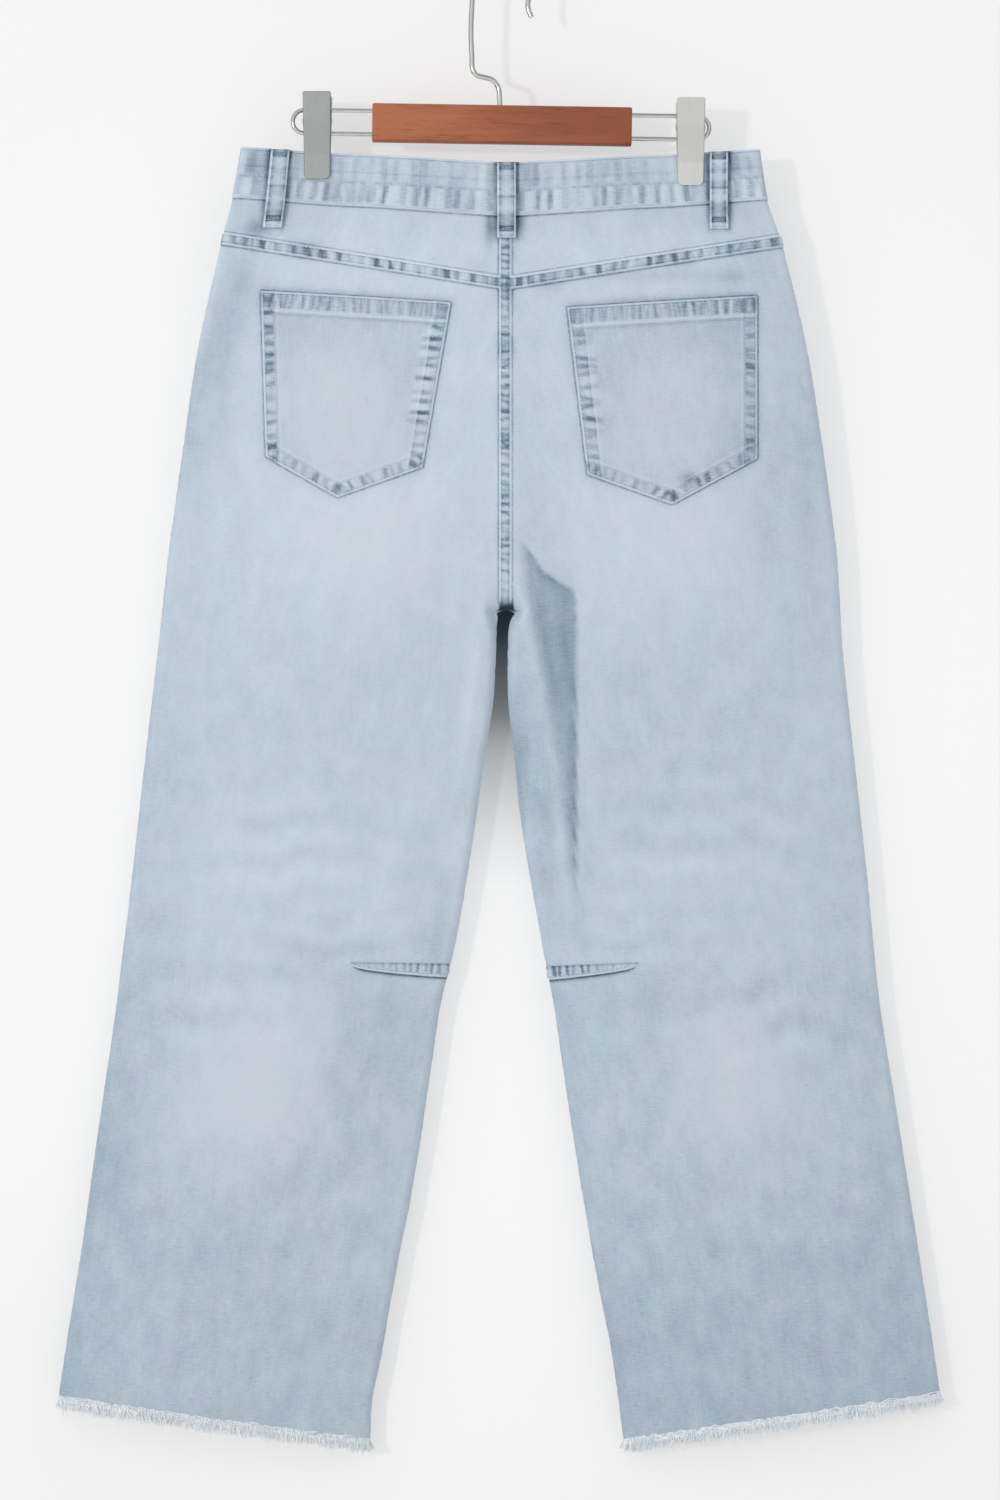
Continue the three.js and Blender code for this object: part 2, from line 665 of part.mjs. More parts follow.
// The band runs from its under end at the centre front, round the wearer's right side and the back, to
// the over end, which laps past the under end.
function waistband() {
  const quarter = (half, face, stops) => stops.map((stop) => ({ half, face, stop }));
  const lap = (x, push) => ({ face: "front", x, push });
  const { overEnd, underEnd, ramp, lift } = BAND_LAP;
  const fromSide = [0, ...BAND_STOPS];
  const toSide = [...BAND_STOPS].reverse();
  const columns = [
    lap(underEnd, -lift),
    lap((underEnd + overEnd) / 2, -lift),
    lap(overEnd - LAP_EASE, -lift),
    ...quarter("right", "front", toSide),
    ...quarter("right", "back", fromSide),
    { face: "back", x: SEAM_X },
    ...quarter("left", "back", [...toSide, 0]),
    ...quarter("left", "front", BAND_STOPS.slice(0, -1)),
    lap(underEnd + ramp, 0),
    lap(underEnd + LAP_EASE, lift),
    lap((underEnd + overEnd) / 2, lift),
    lap(overEnd, lift),
  ];
  const rows = BAND_ROWS.map((centre) => columns.map((column) => bandPlace(column, centre)));
  return wallGeometry(openSeams(rows, 0, SEAM_GAP / 2 + 0.05));
}

addMesh("waistband", waistband(), denimSeam());

// ---------------------------------------------------------------- fringe

// The raw edge's fringe hangs straight on from the hem, all round the leg.
function hemFringe(half) {
  const hem = LEG_ROWS[LEG_ROWS.length - 1];
  const level = levelAt(half, hem);
  const columns = columnsOf(level);
  const round = [
    ...columns.map((along) => ["back", along]),
    ...columns.slice(1, -1).reverse().map((along) => ["front", along]),
  ];
  const edge = round.map(([face, along]) => {
    const at = skinPoint(half, face, hem, along);
    const above = skinPoint(half, face, hem + FRINGE.reach, along);
    const normal = skinNormal(half, face, hem, along);
    return { at, down: at.clone().sub(above).normalize(), normal };
  });
  const rows = [SEAM_GAP / 2, FRINGE.reach].map((drop) =>
    edge.map(({ at, down, normal }) => {
      const outer = at.clone().addScaledVector(down, drop);
      return { outer, inner: outer.clone().addScaledVector(normal, -FRINGE.thick) };
    }),
  );
  return wallGeometry(rows, true);
}

for (const half of ["left", "right"]) {
  addMesh(`hem_fringe_${half}`, hemFringe(half), fringeCotton());
}

// ---------------------------------------------------------------- waist button

// A domed cap on the lap of the band, facing forward.
function waistButton() {
  const { radius, height } = BUTTON;
  const profile = [
    [0, 0],
    [radius * 0.8, 0],
    [radius, height * 0.35],
    [radius, height * 0.6],
    [radius * 0.85, height],
    [radius * 0.6, height * 0.78],
    [0, height * 0.7],
  ].map(([r, h]) => new THREE.Vector2(r, h));
  return new THREE.LatheGeometry(profile, 24);
}

const buttonZ = LEVELS.left[0].centre - FRONT_DROP.depth - BUTTON.below;
const lapFace = placeOver("front", BUTTON.x, buttonZ, 0, 0);
const lapLift = BAND.proud + BAND_LAP.lift + LAY_GAP;
const button = addMesh("waist_button", waistButton(), buttonMetal());
button.position.copy(lapFace.outer).add(point(0, -lapLift, 0));
button.rotation.x = Math.PI;

// ---------------------------------------------------------------- hanger

const hanger = new THREE.Group();
hanger.position.set(BAR.x, 0, BAR.z);
hanger.rotation.y = THREE.MathUtils.degToRad(BAR.tilt);
group.add(hanger);

// A round wire along a curve.
function wireAlong(curve, radius, steps, sides = 8) {
  const section = new THREE.Shape();
  section.absarc(0, 0, radius, 0, Math.PI * 2);
  return new THREE.ExtrudeGeometry(section, {
    steps,
    curveSegments: sides / 2,
    extrudePath: curve,
    bevelEnabled: false,
  });
}

function cylinderBetween(from, to, radius, sides = 16) {
  const axis = to.clone().sub(from);
  const geometry = new THREE.CylinderGeometry(radius, radius, axis.length(), sides);
  const turn = new THREE.Quaternion().setFromUnitVectors(point(0, 1, 0), axis.clone().normalize());
  geometry.applyQuaternion(turn);
  const middle = from.clone().add(to).multiplyScalar(0.5);
  return geometry.translate(middle.x, middle.y, middle.z);
}

// The wooden bar: a rounded oblong section, drilled at both ends for the rails and on top for the hook.
function hangerBar() {
  const halfDeep = BAR.deep / 2 - BAR.round;
  const halfTall = BAR.tall / 2 - BAR.round;
  const section = new THREE.Shape();
  section.absarc(halfDeep, halfTall, BAR.round, 0, Math.PI / 2);
  section.absarc(-halfDeep, halfTall, BAR.round, Math.PI / 2, Math.PI);
  section.absarc(-halfDeep, -halfTall, BAR.round, Math.PI, Math.PI * 1.5);
  section.absarc(halfDeep, -halfTall, BAR.round, Math.PI * 1.5, Math.PI * 2);
  const bar = new THREE.ExtrudeGeometry(section, {
    depth: BAR.long,
    curveSegments: 4,
    bevelEnabled: false,
  });
  bar.translate(0, 0, -BAR.long / 2);
  bar.applyMatrix4(new THREE.Matrix4().makeBasis(point(0, 1, 0), point(0, 0, 1), point(1, 0, 0)));
  let solid = toSolid(bar);
  const clear = SEAM_GAP;
  for (const sign of [-1, 1]) {
    for (const level of [-1, 1]) {
      const z = (level * RAIL.apart) / 2;
      const from = point(sign * (BAR.long / 2 - RAIL.sunk - clear), 0, z);
      const to = point(sign * (BAR.long / 2 + 1), 0, z);
      solid = solid.subtract(toSolid(cylinderBetween(from, to, RAIL.radius + clear)));
    }
  }
  const stemX = HOOK_ROUTE[0][0] - BAR.x;
  const bottom = point(stemX, 0, BAR.tall / 2 - HOOK.sunk - clear * 1.5);
  const top = point(stemX, 0, BAR.tall / 2 + 1);
  return toGeometry(solid.subtract(toSolid(cylinderBetween(bottom, top, HOOK.radius + clear * 2.5))));
}

// One rail: two straight wires out of the bar's end, joined by a half turn.
function hangerRail(sign) {
  const half = RAIL.apart / 2;
  const start = BAR.long / 2 - RAIL.sunk;
  const straight = RAIL.end - BAR.x * sign - start;
  const turn = Math.PI * half;
  const total = 2 * straight + turn;
  class RailLine extends THREE.Curve {
    getPoint(share, target = new THREE.Vector3()) {
      const run = share * total;
      if (run < straight) {
        return target.set(sign * (start + run), 0, half);
      }
      if (run > straight + turn) {
        return target.set(sign * (start + total - run), 0, -half);
      }
      const angle = (run - straight) / half;
      return target.set(sign * (start + straight + half * Math.sin(angle)), 0, half * Math.cos(angle));
    }
  }
  return wireAlong(new RailLine(), RAIL.radius, 30);
}

// The hook: up its route, over the bend that rests on a rail, and down to the tip, flared outwards.
function hangerHook() {
  const centreZ = HOOK.radius - HOOK.bend;
  const bend = [];
  for (let angle = 0; angle <= HOOK.sweep; angle += HOOK.sweep / 14) {
    const turn = THREE.MathUtils.degToRad(angle);
    bend.push(point(HOOK.bend * Math.cos(turn), 0, centreZ + HOOK.bend * Math.sin(turn)));
  }
  const inPlane = (places) => places.map(([x, z]) => point(x, 0, z));
  const route = new THREE.CatmullRomCurve3([...inPlane(HOOK_ROUTE), ...bend, ...inPlane(HOOK_TIP)]);
  return wireAlong(route, HOOK.radius, 56);
}

addMesh("hanger_bar", hangerBar(), wood(), hanger);
addMesh("hanger_rail_left", hangerRail(1), wire(), hanger);
addMesh("hanger_rail_right", hangerRail(-1), wire(), hanger);
addMesh("hanger_hook", hangerHook(), wire());

// ---------------------------------------------------------------- clips

// One plate of a clip: a bent strip with rounded corners and two ears that reach the pin. It faces +Y.
function clipPlate(earX) {
  const { width, foot, top, bottom, sheet, grip, corner, nose } = CLIP;
  const inside = CLIP_BENDS.map(({ z, off }) => new THREE.Vector2(grip + off, z));
  const outside = [...inside].reverse().map((bend) => new THREE.Vector2(bend.x + sheet, bend.y));
  const profile = new THREE.Shape([...inside, ...outside]);
  const upright = new THREE.Matrix4().makeBasis(point(0, 1, 0), point(0, 0, 1), point(1, 0, 0));
  const strip = new THREE.ExtrudeGeometry(profile, { depth: width, bevelEnabled: false });
  strip.translate(0, 0, -width / 2).applyMatrix4(upright);

  const outline = new THREE.Shape();
  outline.moveTo(-width / 2, top - nose);
  outline.lineTo(-foot / 2, bottom + corner);
  outline.quadraticCurveTo(-foot / 2, bottom, -foot / 2 + corner, bottom);
  outline.lineTo(foot / 2 - corner, bottom);
  outline.quadraticCurveTo(foot / 2, bottom, foot / 2, bottom + corner);
  outline.lineTo(width / 2, top - nose);
  outline.quadraticCurveTo(width / 2, top, width / 2 - nose, top);
  outline.lineTo(-width / 2 + nose, top);
  outline.quadraticCurveTo(-width / 2, top, -width / 2, top - nose);
  const reach = 40;
  const cutter = new THREE.ExtrudeGeometry(outline, {
    depth: reach,
    curveSegments: 5,
    bevelEnabled: false,
  });
  cutter.applyMatrix4(new THREE.Matrix4().makeBasis(point(1, 0, 0), point(0, 0, 1), point(0, -1, 0)));
  cutter.translate(0, reach, 0);
  let solid = toSolid(strip).intersect(toSolid(cutter));

  for (const side of [-1, 1]) {
    const { ear, earSheet, radius } = CLIP_PIN;
    const tab = new THREE.Shape();
    tab.absarc(0, 0, ear, Math.PI / 2, Math.PI * 1.5);
    tab.lineTo(grip + 5, -ear);
    tab.lineTo(grip + 5.6, ear);
    const hole = new THREE.Path();
    hole.absarc(0, 0, radius + SEAM_GAP, 0, Math.PI * 2, true);
    tab.holes.push(hole);
    const flange = new THREE.ExtrudeGeometry(tab, {
      depth: earSheet,
      curveSegments: 6,
      bevelEnabled: false,
    });
    flange.applyMatrix4(upright);
    flange.translate(side * earX - (side > 0 ? 0 : earSheet), 0, 0);
    solid = solid.add(toSolid(flange));
  }
  return toGeometry(solid);
}

// The pin, headed at both ends outside the ears.
function clipPin() {
  const { radius, head, headThick, earOut, earSheet } = CLIP_PIN;
  const shoulder = earOut + earSheet + SEAM_GAP;
  const end = shoulder + headThick;
  const profile = [
    [0, -end],
    [head, -end],
    [head, -shoulder],
    [radius, -shoulder],
    [radius, shoulder],
    [head, shoulder],
    [head, end],
    [0, end],
  ].map(([r, h]) => new THREE.Vector2(r, h));
  return new THREE.LatheGeometry(profile, 12).rotateZ(Math.PI / 2);
}

// The plain sleeve that the coil spring takes up round the pin.
function clipSpring() {
  const { inner, outer, half } = CLIP_SPRING;
  const profile = [
    [inner, -half],
    [outer, -half],
    [outer, half],
    [inner, half],
    [inner, -half],
  ].map(([r, h]) => new THREE.Vector2(r, h));
  return new THREE.LatheGeometry(profile, 14).rotateZ(Math.PI / 2);
}

for (const [side, at] of Object.entries(CLIPS)) {
  const clip = new THREE.Group();
  clip.position.set(at.x, 0, at.z);
  group.add(clip);
  addMesh(`clip_${side}_back_plate`, clipPlate(CLIP_PIN.earOut), clipSteel(), clip);
  const front = addMesh(`clip_${side}_front_plate`, clipPlate(CLIP_PIN.earIn), clipSteel(), clip);
  front.rotation.z = Math.PI;
  addMesh(`clip_${side}_pin`, clipPin(), wire(), clip);
  addMesh(`clip_${side}_spring`, clipSpring(), wire(), clip);
}

export default group;
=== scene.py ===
"""Cropped wide-legged jeans, hung by their waistband from a clip hanger."""

import math

import bpy
import numpy as np
from bpy.props import FloatProperty, FloatVectorProperty, IntProperty, PointerProperty
from mathutils import Matrix, Vector


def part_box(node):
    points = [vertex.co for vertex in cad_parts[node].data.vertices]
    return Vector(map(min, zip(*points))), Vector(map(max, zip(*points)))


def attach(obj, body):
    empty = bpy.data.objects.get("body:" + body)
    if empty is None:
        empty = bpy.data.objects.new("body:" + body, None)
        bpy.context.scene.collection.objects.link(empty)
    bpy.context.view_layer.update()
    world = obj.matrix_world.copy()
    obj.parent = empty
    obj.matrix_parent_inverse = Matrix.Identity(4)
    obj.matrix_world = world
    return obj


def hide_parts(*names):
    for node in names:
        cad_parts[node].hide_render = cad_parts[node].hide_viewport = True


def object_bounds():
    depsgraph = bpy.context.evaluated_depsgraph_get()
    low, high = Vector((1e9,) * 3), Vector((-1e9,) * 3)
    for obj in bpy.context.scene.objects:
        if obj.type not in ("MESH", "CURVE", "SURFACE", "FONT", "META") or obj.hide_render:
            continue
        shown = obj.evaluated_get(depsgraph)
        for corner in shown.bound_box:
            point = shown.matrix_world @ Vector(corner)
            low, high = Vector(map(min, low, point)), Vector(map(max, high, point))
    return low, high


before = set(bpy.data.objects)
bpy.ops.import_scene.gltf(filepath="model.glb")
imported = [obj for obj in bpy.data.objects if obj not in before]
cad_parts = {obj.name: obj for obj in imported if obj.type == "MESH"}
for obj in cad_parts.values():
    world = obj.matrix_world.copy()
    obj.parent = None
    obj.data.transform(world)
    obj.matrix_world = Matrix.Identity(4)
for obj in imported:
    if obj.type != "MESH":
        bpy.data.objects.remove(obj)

bl_info = {
    "name": "Cropped jeans on a clip hanger",
    "version": (1, 0, 0),
    "blender": (4, 5, 0),
    "location": "3D View > Sidebar > Jeans",
    "description": "Builds washed denim jeans and their hanger around the packed model",
    "category": "Object",
}

CAD_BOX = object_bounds()
BODY = "root"
MM = 0.001

# ---- sizes, in millimetres
#
# +Z is up, the back of the jeans faces +Y and the wearer's left is +X. "left" and "right" are the
# wearer's. The origin is the seat of the hanger's hook.

HALVES = ("left", "right")
SIGN = {"left": 1, "right": -1, "back": 1, "front": -1}
SEAM_X = -4.2  # the centre back seam and centre front seam
SEAM_SHIFT = 1.0  # how far to the left of it the felled seam lies
TOP = -150  # the upper edge of the waistband, at the centre back
WAIST = -191  # its lower edge
YOKE = -242  # the seam under the yokes
HEM = -1121

FRONT_DROP = 14  # how much lower the waist is at the centre front
FRONT_DROP_OVER = 340
CROTCH_START, CROTCH, LEG_START = -466, -490, -512
SEAT_WIDTH, SEAT_FOOT_WIDTH, INSEAM_WIDTH, SEAT_WIDE_AT = 24, 18, 12, -440
CROWN_START, CROWN_OVER = -400, 160
PINCH_DEPTH, PINCH_X, PINCH_Z = 2.2, 34, 78
CLIP_X = {"left": 139.9, "right": -144.4}
CLIP_Z = {"left": -117.7, "right": -122.4}

# Levels down each half: the height at the centre seam or inseam, the height at the side seam, X of the
# side fold, X of the inner fold, half the depth at the folds, and what the middle adds to it.
LEVELS = {
    "left": np.array([
        (-150, -137.5, 197.6, SEAM_X, 4.5, 3.5), (-191, -176, 204.4, SEAM_X, 5, 4),
        (-242, -207, 212.4, SEAM_X, 5.5, 5), (-330, -290, 230.7, SEAM_X, 6.5, 7.5),
        (-410, -368, 242.4, SEAM_X, 7, 8.5), (-490, -448, 253.5, 2.0, 7, 8),
        (-502, -460, 254.9, 3.2, 7, 8), (-530, -489, 258, 4.2, 7, 8),
        (-560, -520, 261.4, 6.1, 7, 7.5), (-600, -561, 266.2, 12.2, 7, 7.5),
        (-650, -612, 272.1, 19.2, 7, 7), (-740, -703, 282.3, 34, 6.5, 6.5),
        (-790, -753.5, 288.5, 46, 6.5, 6.5), (-830, -794, 293.4, 52, 6.5, 6.5),
        (-920, -885, 306.7, 65.7, 6, 6), (-1010, -977, 319.6, 83, 6, 5.5),
        (-1060, -1027, 327.6, 91.6, 6, 5.3), (-1092, -1059, 332.6, 98.2, 6, 5.1),
        (-1121, -1088, 337, 99.6, 6, 5),
    ]),
    "right": np.array([
        (-150, -139, -196.8, SEAM_X, 4.5, 3.5), (-191, -177.5, -202.9, SEAM_X, 5, 4),
        (-242, -209, -213.6, SEAM_X, 5.5, 5), (-330, -290, -232.9, SEAM_X, 6.5, 7.5),
        (-410, -368, -245.5, SEAM_X, 7, 8.5), (-490, -448, -256.1, -9.8, 7, 8),
        (-502, -460, -256.8, -6.2, 7, 8), (-530, -489, -258.5, -5.2, 7, 8),
        (-560, -520, -260.3, -5.7, 7, 7.5), (-600, -561, -264.6, -9.9, 7, 7.5),
        (-650, -612, -270.2, -15.2, 7, 7), (-740, -703, -280, -30.6, 6.5, 6.5),
        (-790, -753.5, -284.6, -40.2, 6.5, 6.5), (-830, -794, -289.2, -46, 6.5, 6.5),
        (-920, -885, -303.6, -59.8, 6, 6), (-1010, -977, -318, -75.4, 6, 5.5),
        (-1050, -1015, -323.9, -83.6, 6, 5.3), (-1121, -1085, -334.4, -93.4, 6, 5),
    ]),
}

# Creases: a line from start to end, its reach on the side nearer the side seam and on the side nearer
# the centre, its depth (below zero for a trough) and the tone it adds: below zero darker, partly dye kept
# in the crease and partly painted shade; above zero paler, partly wear and partly a painted highlight.
CREASES = {
    ("right", "back"): (
        ((-70, -470), (-74, -800), 20, 20, 1.6, 0.03), ((-22, -415), (-60, -446), 22, 12, -1.2, -0.06),
        ((-12, -300), (-30, -440), 22, 10, -1.2, -0.03), ((-52, -760), (-62, -960), 12, 12, -2.0, -0.08),
        ((-225, -190), (-238, -330), 10, 26, -1.6, -0.22),
        ((-238, -290), (-252, -480), 40, 34, 0.0, -0.24),
        ((-192, -320), (-204, -500), 30, 30, 0.0, -0.16), ((-50, -600), (-66, -800), 9, 12, 0.0, -0.16),
    ),
    ("left", "back"): (
        ((44, -640), (72, -775), 15, 15, -3.6, -0.14), ((14, -500), (32, -640), 6, 4, 1.0, 0.16),
        ((8, -410), (52, -452), 14, 16, -1.4, -0.06), ((150, -830), (190, -1010), 26, 22, -1.6, -0.06),
        ((196, -225), (226, -330), 10, 20, -1.4, -0.16), ((238, -270), (250, -450), 40, 26, 0.0, -0.26),
        ((207, -240), (213, -400), 12, 14, -1.6, -0.2), ((66, -745), (180, -975), 26, 74, -0.8, -0.22),
        ((70, -752), (200, -742), 10, 8, -0.5, -0.14), ((283, -810), (300, -990), 30, 30, 0.0, -0.16),
    ),
    ("left", "front"): (
        ((42, -470), (66, -780), 16, 16, -5.0, -0.12), ((20, -480), (40, -640), 7, 7, 1.2, 0.06),
        ((14, -440), (86, -404), 9, 9, -1.5, -0.08), ((18, -470), (104, -462), 10, 10, -1.2, -0.05),
    ),
    ("right", "front"): (
        ((-46, -500), (-66, -760), 15, 15, -4.0, -0.1), ((-16, -470), (-34, -620), 7, 7, 1.0, 0.05),
        ((-22, -446), (-98, -420), 9, 9, -1.4, -0.08),
    ),
}

# The hollow of the right thigh: height, X of its soft side and X of its sharp side.
HOLLOW = np.array([
    (-434, -13.5, -14), (-450, -14.5, -25), (-462, -15.3, -33), (-475, -17, -54.5),
    (-484, -18.4, -57.6), (-502, -22, -57.6), (-539, -32, -57.6), (-576, -38.8, -57.6),
    (-613, -43.8, -57.6), (-655, -48.6, -57.6), (-700, -53, -57.6), (-745, -57, -57.6),
])
# How deep the hollow is, and how much darker it is painted: partly dye kept in it, partly painted shade.
HOLLOW_DEPTH, HOLLOW_DYE_AND_SHADE = 4.5, 0.68

BAND_THICK, BAND_PROUD, BAND_TALL = 2.4, 0.8, 40
FACING_LIFT = -2.0
LAP_OVER, LAP_UNDER, LAP_RAMP, LAP_LIFT = -12, 22, 18, 1.4
SCOOP_ACROSS, SCOOP_DOWN = 102, 92  # the front pocket's mouth
SCOOP_UNDER = 12

# Corners of the back pockets, from the mouth's outer corner round to the foot's.
BACK_POCKETS = {
    "left": ((182.4, -247.5), (38, -256.7), (59.3, -382), (123.9, -404.9), (178.6, -373.7)),
    "right": ((-194.6, -251.3), (-50.2, -260.5), (-65.4, -387.4), (-130, -410.2), (-194.6, -375.2)),
}

# Belt loops, from the centre of the upper end to the centre of the lower end.
BELT_LOOPS = {
    "belt_loop_back": ("back", (-4.2, -150), (-4.2, -207.5)),
    "belt_loop_back_left": ("back", (168, -139.6), (174, -199.5)),
    "belt_loop_back_right": ("back", (-166, -141.2), (-166, -200.5)),
    "belt_loop_front_left": ("front", (92, -152), (92, -210)),
    "belt_loop_front_right": ("front", (-100, -152), (-100, -210)),
}

# Knee darts: the upper line, from the inseam to the point.
DARTS = {"left": ((40, -758.8), (114, -757.5)), "right": ((-35, -760.8), (-104, -757.5))}
DART_TALL = 10

FLY_EDGE, FLY_WIDTH, FLY_TOP, FLY_HEIGHT = -10, 40, -206, 150
BUTTON_RADIUS, BUTTON_HEIGHT = 8.5, 3.2

BAR_X, BAR_Z, BAR_TILT = -0.8, -120, math.radians(-0.95)
BAR_LONG, BAR_DEEP, BAR_TALL = 197.6, 12, 29
RAIL_RADIUS, RAIL_APART, RAIL_END, RAIL_SUNK = 1.7, 17.8, 149.8, 14
HOOK_RADIUS, HOOK_BEND, HOOK_SWEEP, HOOK_SUNK = 2, 21.5, 196, 14
HOOK_ROUTE = (
    (1, BAR_Z + BAR_TALL / 2 - HOOK_SUNK), (1, -110), (1, -101), (2.2, -91.5), (6.5, -85.8),
    (13, -83.8), (18.5, -82.2), (21.6, -77.5), (22.2, -68), (22.9, -50), (22.4, -34),
)
HOOK_TIP = ((-20.6, -31), (-23, -37.5))
CLIP_WIDTH, CLIP_FOOT, CLIP_TOP, CLIP_BOTTOM = 21.5, 19.5, 21.5, -44
CLIP_SHEET, CLIP_GRIP = 1.5, 3.55
CLIP_BENDS = ((21.5, 7.6), (0, 5.1), (-14, 2.6), (-26, 0), (-44, 0))  # height, stand-off
PIN_RADIUS, PIN_HEAD, PIN_EAR, EAR_SHEET = 1.4, 2.5, 4.4, 1.2
EAR_OUT, EAR_IN = 9, 7.2
SPRING_RADIUS, SPRING_WIRE, SPRING_HALF = 2.75, 0.8, 5.9
POCKET_LIFT, POCKET_HEM, POCKET_ROWS = 1.7, 13.4, (1.8, 9.3)
POCKET_SWELL, POCKET_SWELL_OVER = 1.3, 17  # how far the mouth swells, and how soon that fades
LOOP_WIDTH, LOOP_THICK, LOOP_RISE, LOOP_REST = 14.2, 2.0, 2.6, 0.8

# Felled seams: the seed and spacing of their puckers, then the side of the fold. Their two rows of
# stitches lie at FELL_ROWS from the middle. A height from the yoke's seam times YOKE_LEAN is a distance.
YOKE_FELL = {"left": (11, 10.5), "right": (12, 10.5)}
CENTRE_FELL = (21, 6.4, -1)
FELL_ROWS, YOKE_LEAN = (-3.2, 3.0), 0.985
NO_RIM = 6.0  # a distance from any edge that draws no line

# How worn the cloth is down the leg, from -1, full dye, to 1.
WEAR_DOWN = {
    "back": ((-150, 0.00), (-215, 0.30), (-320, 0.24), (-400, 0.28), (-480, 0.18), (-600, 0.06),
             (-700, 0.12), (-745, 0.12), (-790, 0.02), (-880, 0.02), (-960, -0.09), (-1040, -0.18),
             (-1121, -0.22)),
    "front": ((-150, 0.00), (-230, 0.12), (-420, 0.20), (-620, 0.24), (-760, 0.20), (-900, 0.02),
              (-1010, -0.20), (-1121, -0.34)),
}
# Painted light: the wearer's left half, nearer the light, is painted paler and the right half darker.
HALF_PAINTED_LIGHT = {"left": 0.04, "right": -0.06}

# Patches: the middle, the reach across and down, how much paler and how much warmer. Paler ones are worn
# fades; darker ones are partly dye kept along the seams and partly painted shade beside the belt loops,
# seams, darts and folds.
FADES_AND_SHADES = {
    ("left", "back"): (
        (186, -200, 10, 7, -0.75, 0), (150, -216, 12, 7, -0.75, 0), (16, -232, 9, 7, -0.2, 0),
        (-2, -215, 5, 20, -0.25, 0), (8.6, -198, 4.5, 14, -1.1, 0), (-2, -290, 6, 9, -0.6, 0),
        (65, -432, 45, 45, -0.12, 0), (198, -938, 66, 66, -0.16, 0), (60, -695, 26, 70, 0.16, 0),
        (54, -748, 14, 16, -0.4, 0), (141, -764, 44, 12, -0.15, 0), (196, -240, 14, 30, -0.3, 0),
        (46, -716, 10, 30, -0.3, 0), (262, -760, 30, 90, -0.14, 0), (65, -490, 24, 40, -0.12, 0),
        (-2, -251, 6, 8, -0.25, 0), (96, -436, 66, 52, 0.16, 0.42), (128, -322, 52, 50, 0.05, 0.30),
        (178, -865, 62, 78, 0.14, 0.50), (150, -690, 84, 44, 0.12, 0.05),
    ),
    ("right", "back"): (
        (-14.2, -196, 4.5, 12, -0.9, 0), (-6, -215, 5, 20, -0.35, 0), (-6, -290, 5, 9, -0.5, 0),
        (-37, -242, 10, 7, -0.5, 0), (-136, -224, 12, 7, -0.5, 0), (-176, -216, 16, 9, -0.25, 0),
        (-82, -210, 90, 24, 0.08, 0), (-34, -660, 10, 62, -0.25, 0), (-246, -600, 22, 50, 0.2, 0),
        (-14, -600, 8, 50, -0.45, 0), (-143, -391, 7, 6, -0.8, 0), (-6, -251, 5, 8, -0.5, 0),
        (-110, -236, 60, 5, -0.3, 0), (-174, -236, 16, 8, -0.35, 0), (-170, -832, 34, 40, -0.12, 0),
        (-33, -525, 18, 90, -0.3, 0), (-174, -440, 70, 45, -0.12, 0), (-160, -782, 76, 18, -0.15, 0),
        (-132, -436, 80, 52, 0.18, 0.34), (-120, -318, 52, 50, 0.04, 0.26),
        (-172, -836, 44, 60, 0.16, 0.50), (-128, -690, 70, 34, 0.14, 0.03),
    ),
    ("left", "front"): ((128, -520, 62, 130, 0.20, 0.34), (176, -840, 60, 80, 0.12, 0.4)),
    ("right", "front"): ((-132, -524, 62, 130, 0.20, 0.34), (-180, -836, 60, 80, 0.12, 0.4)),
}

# Painted light and shade along each half's outer and inner folds, where the cloth turns from the light: how
# much paler (above zero) or darker the cloth is painted there.
OUTER_EDGE_LIGHT = {"left": -0.22, "right": 0.28}
INNER_EDGE_LIGHT = {"left": 0.16, "right": -0.16}

# Soft ripples across the legs: the seed, the middle, the reach across and down, the spacing, how far
# their ends hang below their middle, and the height.
RIPPLES = {
    ("left", "back"): (
        (200, 150, -672, 78, 46, 30, 9, 0.9), (201, 120, -742, 66, 30, 24, -6, 0.7),
        (202, 214, -790, 60, 40, 34, 12, 0.8), (203, 130, -960, 80, 70, 58, 8, 0.5),
    ),
    ("right", "back"): (
        (204, -150, -660, 74, 50, 32, 8, 0.9), (205, -116, -740, 64, 32, 25, -6, 0.7),
        (206, -220, -800, 60, 44, 36, 12, 0.8), (207, -180, -970, 80, 70, 56, 8, 0.5),
    ),
    ("left", "front"): ((208, 150, -700, 90, 60, 33, 8, 0.8), (210, 150, -960, 90, 70, 60, -8, 0.5)),
    ("right", "front"): ((209, -156, -706, 90, 60, 35, 8, 0.8), (211, -150, -950, 90, 70, 58, -8, 0.5)),
}

# ---- small sums


def soft(value):
    value = np.clip(value, 0.0, 1.0)
    return value * value * (3.0 - 2.0 * value)


def mix(start, end, share):
    return start + (end - start) * share


def bump(distance, reach):
    return np.exp(-((distance / reach) ** 2))


def window(value, low, high, ease):
    """1 between low and high, falling softly to 0 over "ease" on both sides."""
    return soft((value - low) / ease + 0.5) * soft((high - value) / ease + 0.5)


def waves(run, seed, spacing, amount=1.0):
    """Slow smooth variation along a run, from about -amount to amount."""
    rng = np.random.default_rng(seed)
    value = 0.0
    for scale, part in ((1.0, 0.55), (2.3, 0.3), (4.1, 0.15)):
        value = value + part * np.sin(run * scale * 2 * math.pi / spacing + rng.uniform(0, 6.28))
    return amount * value


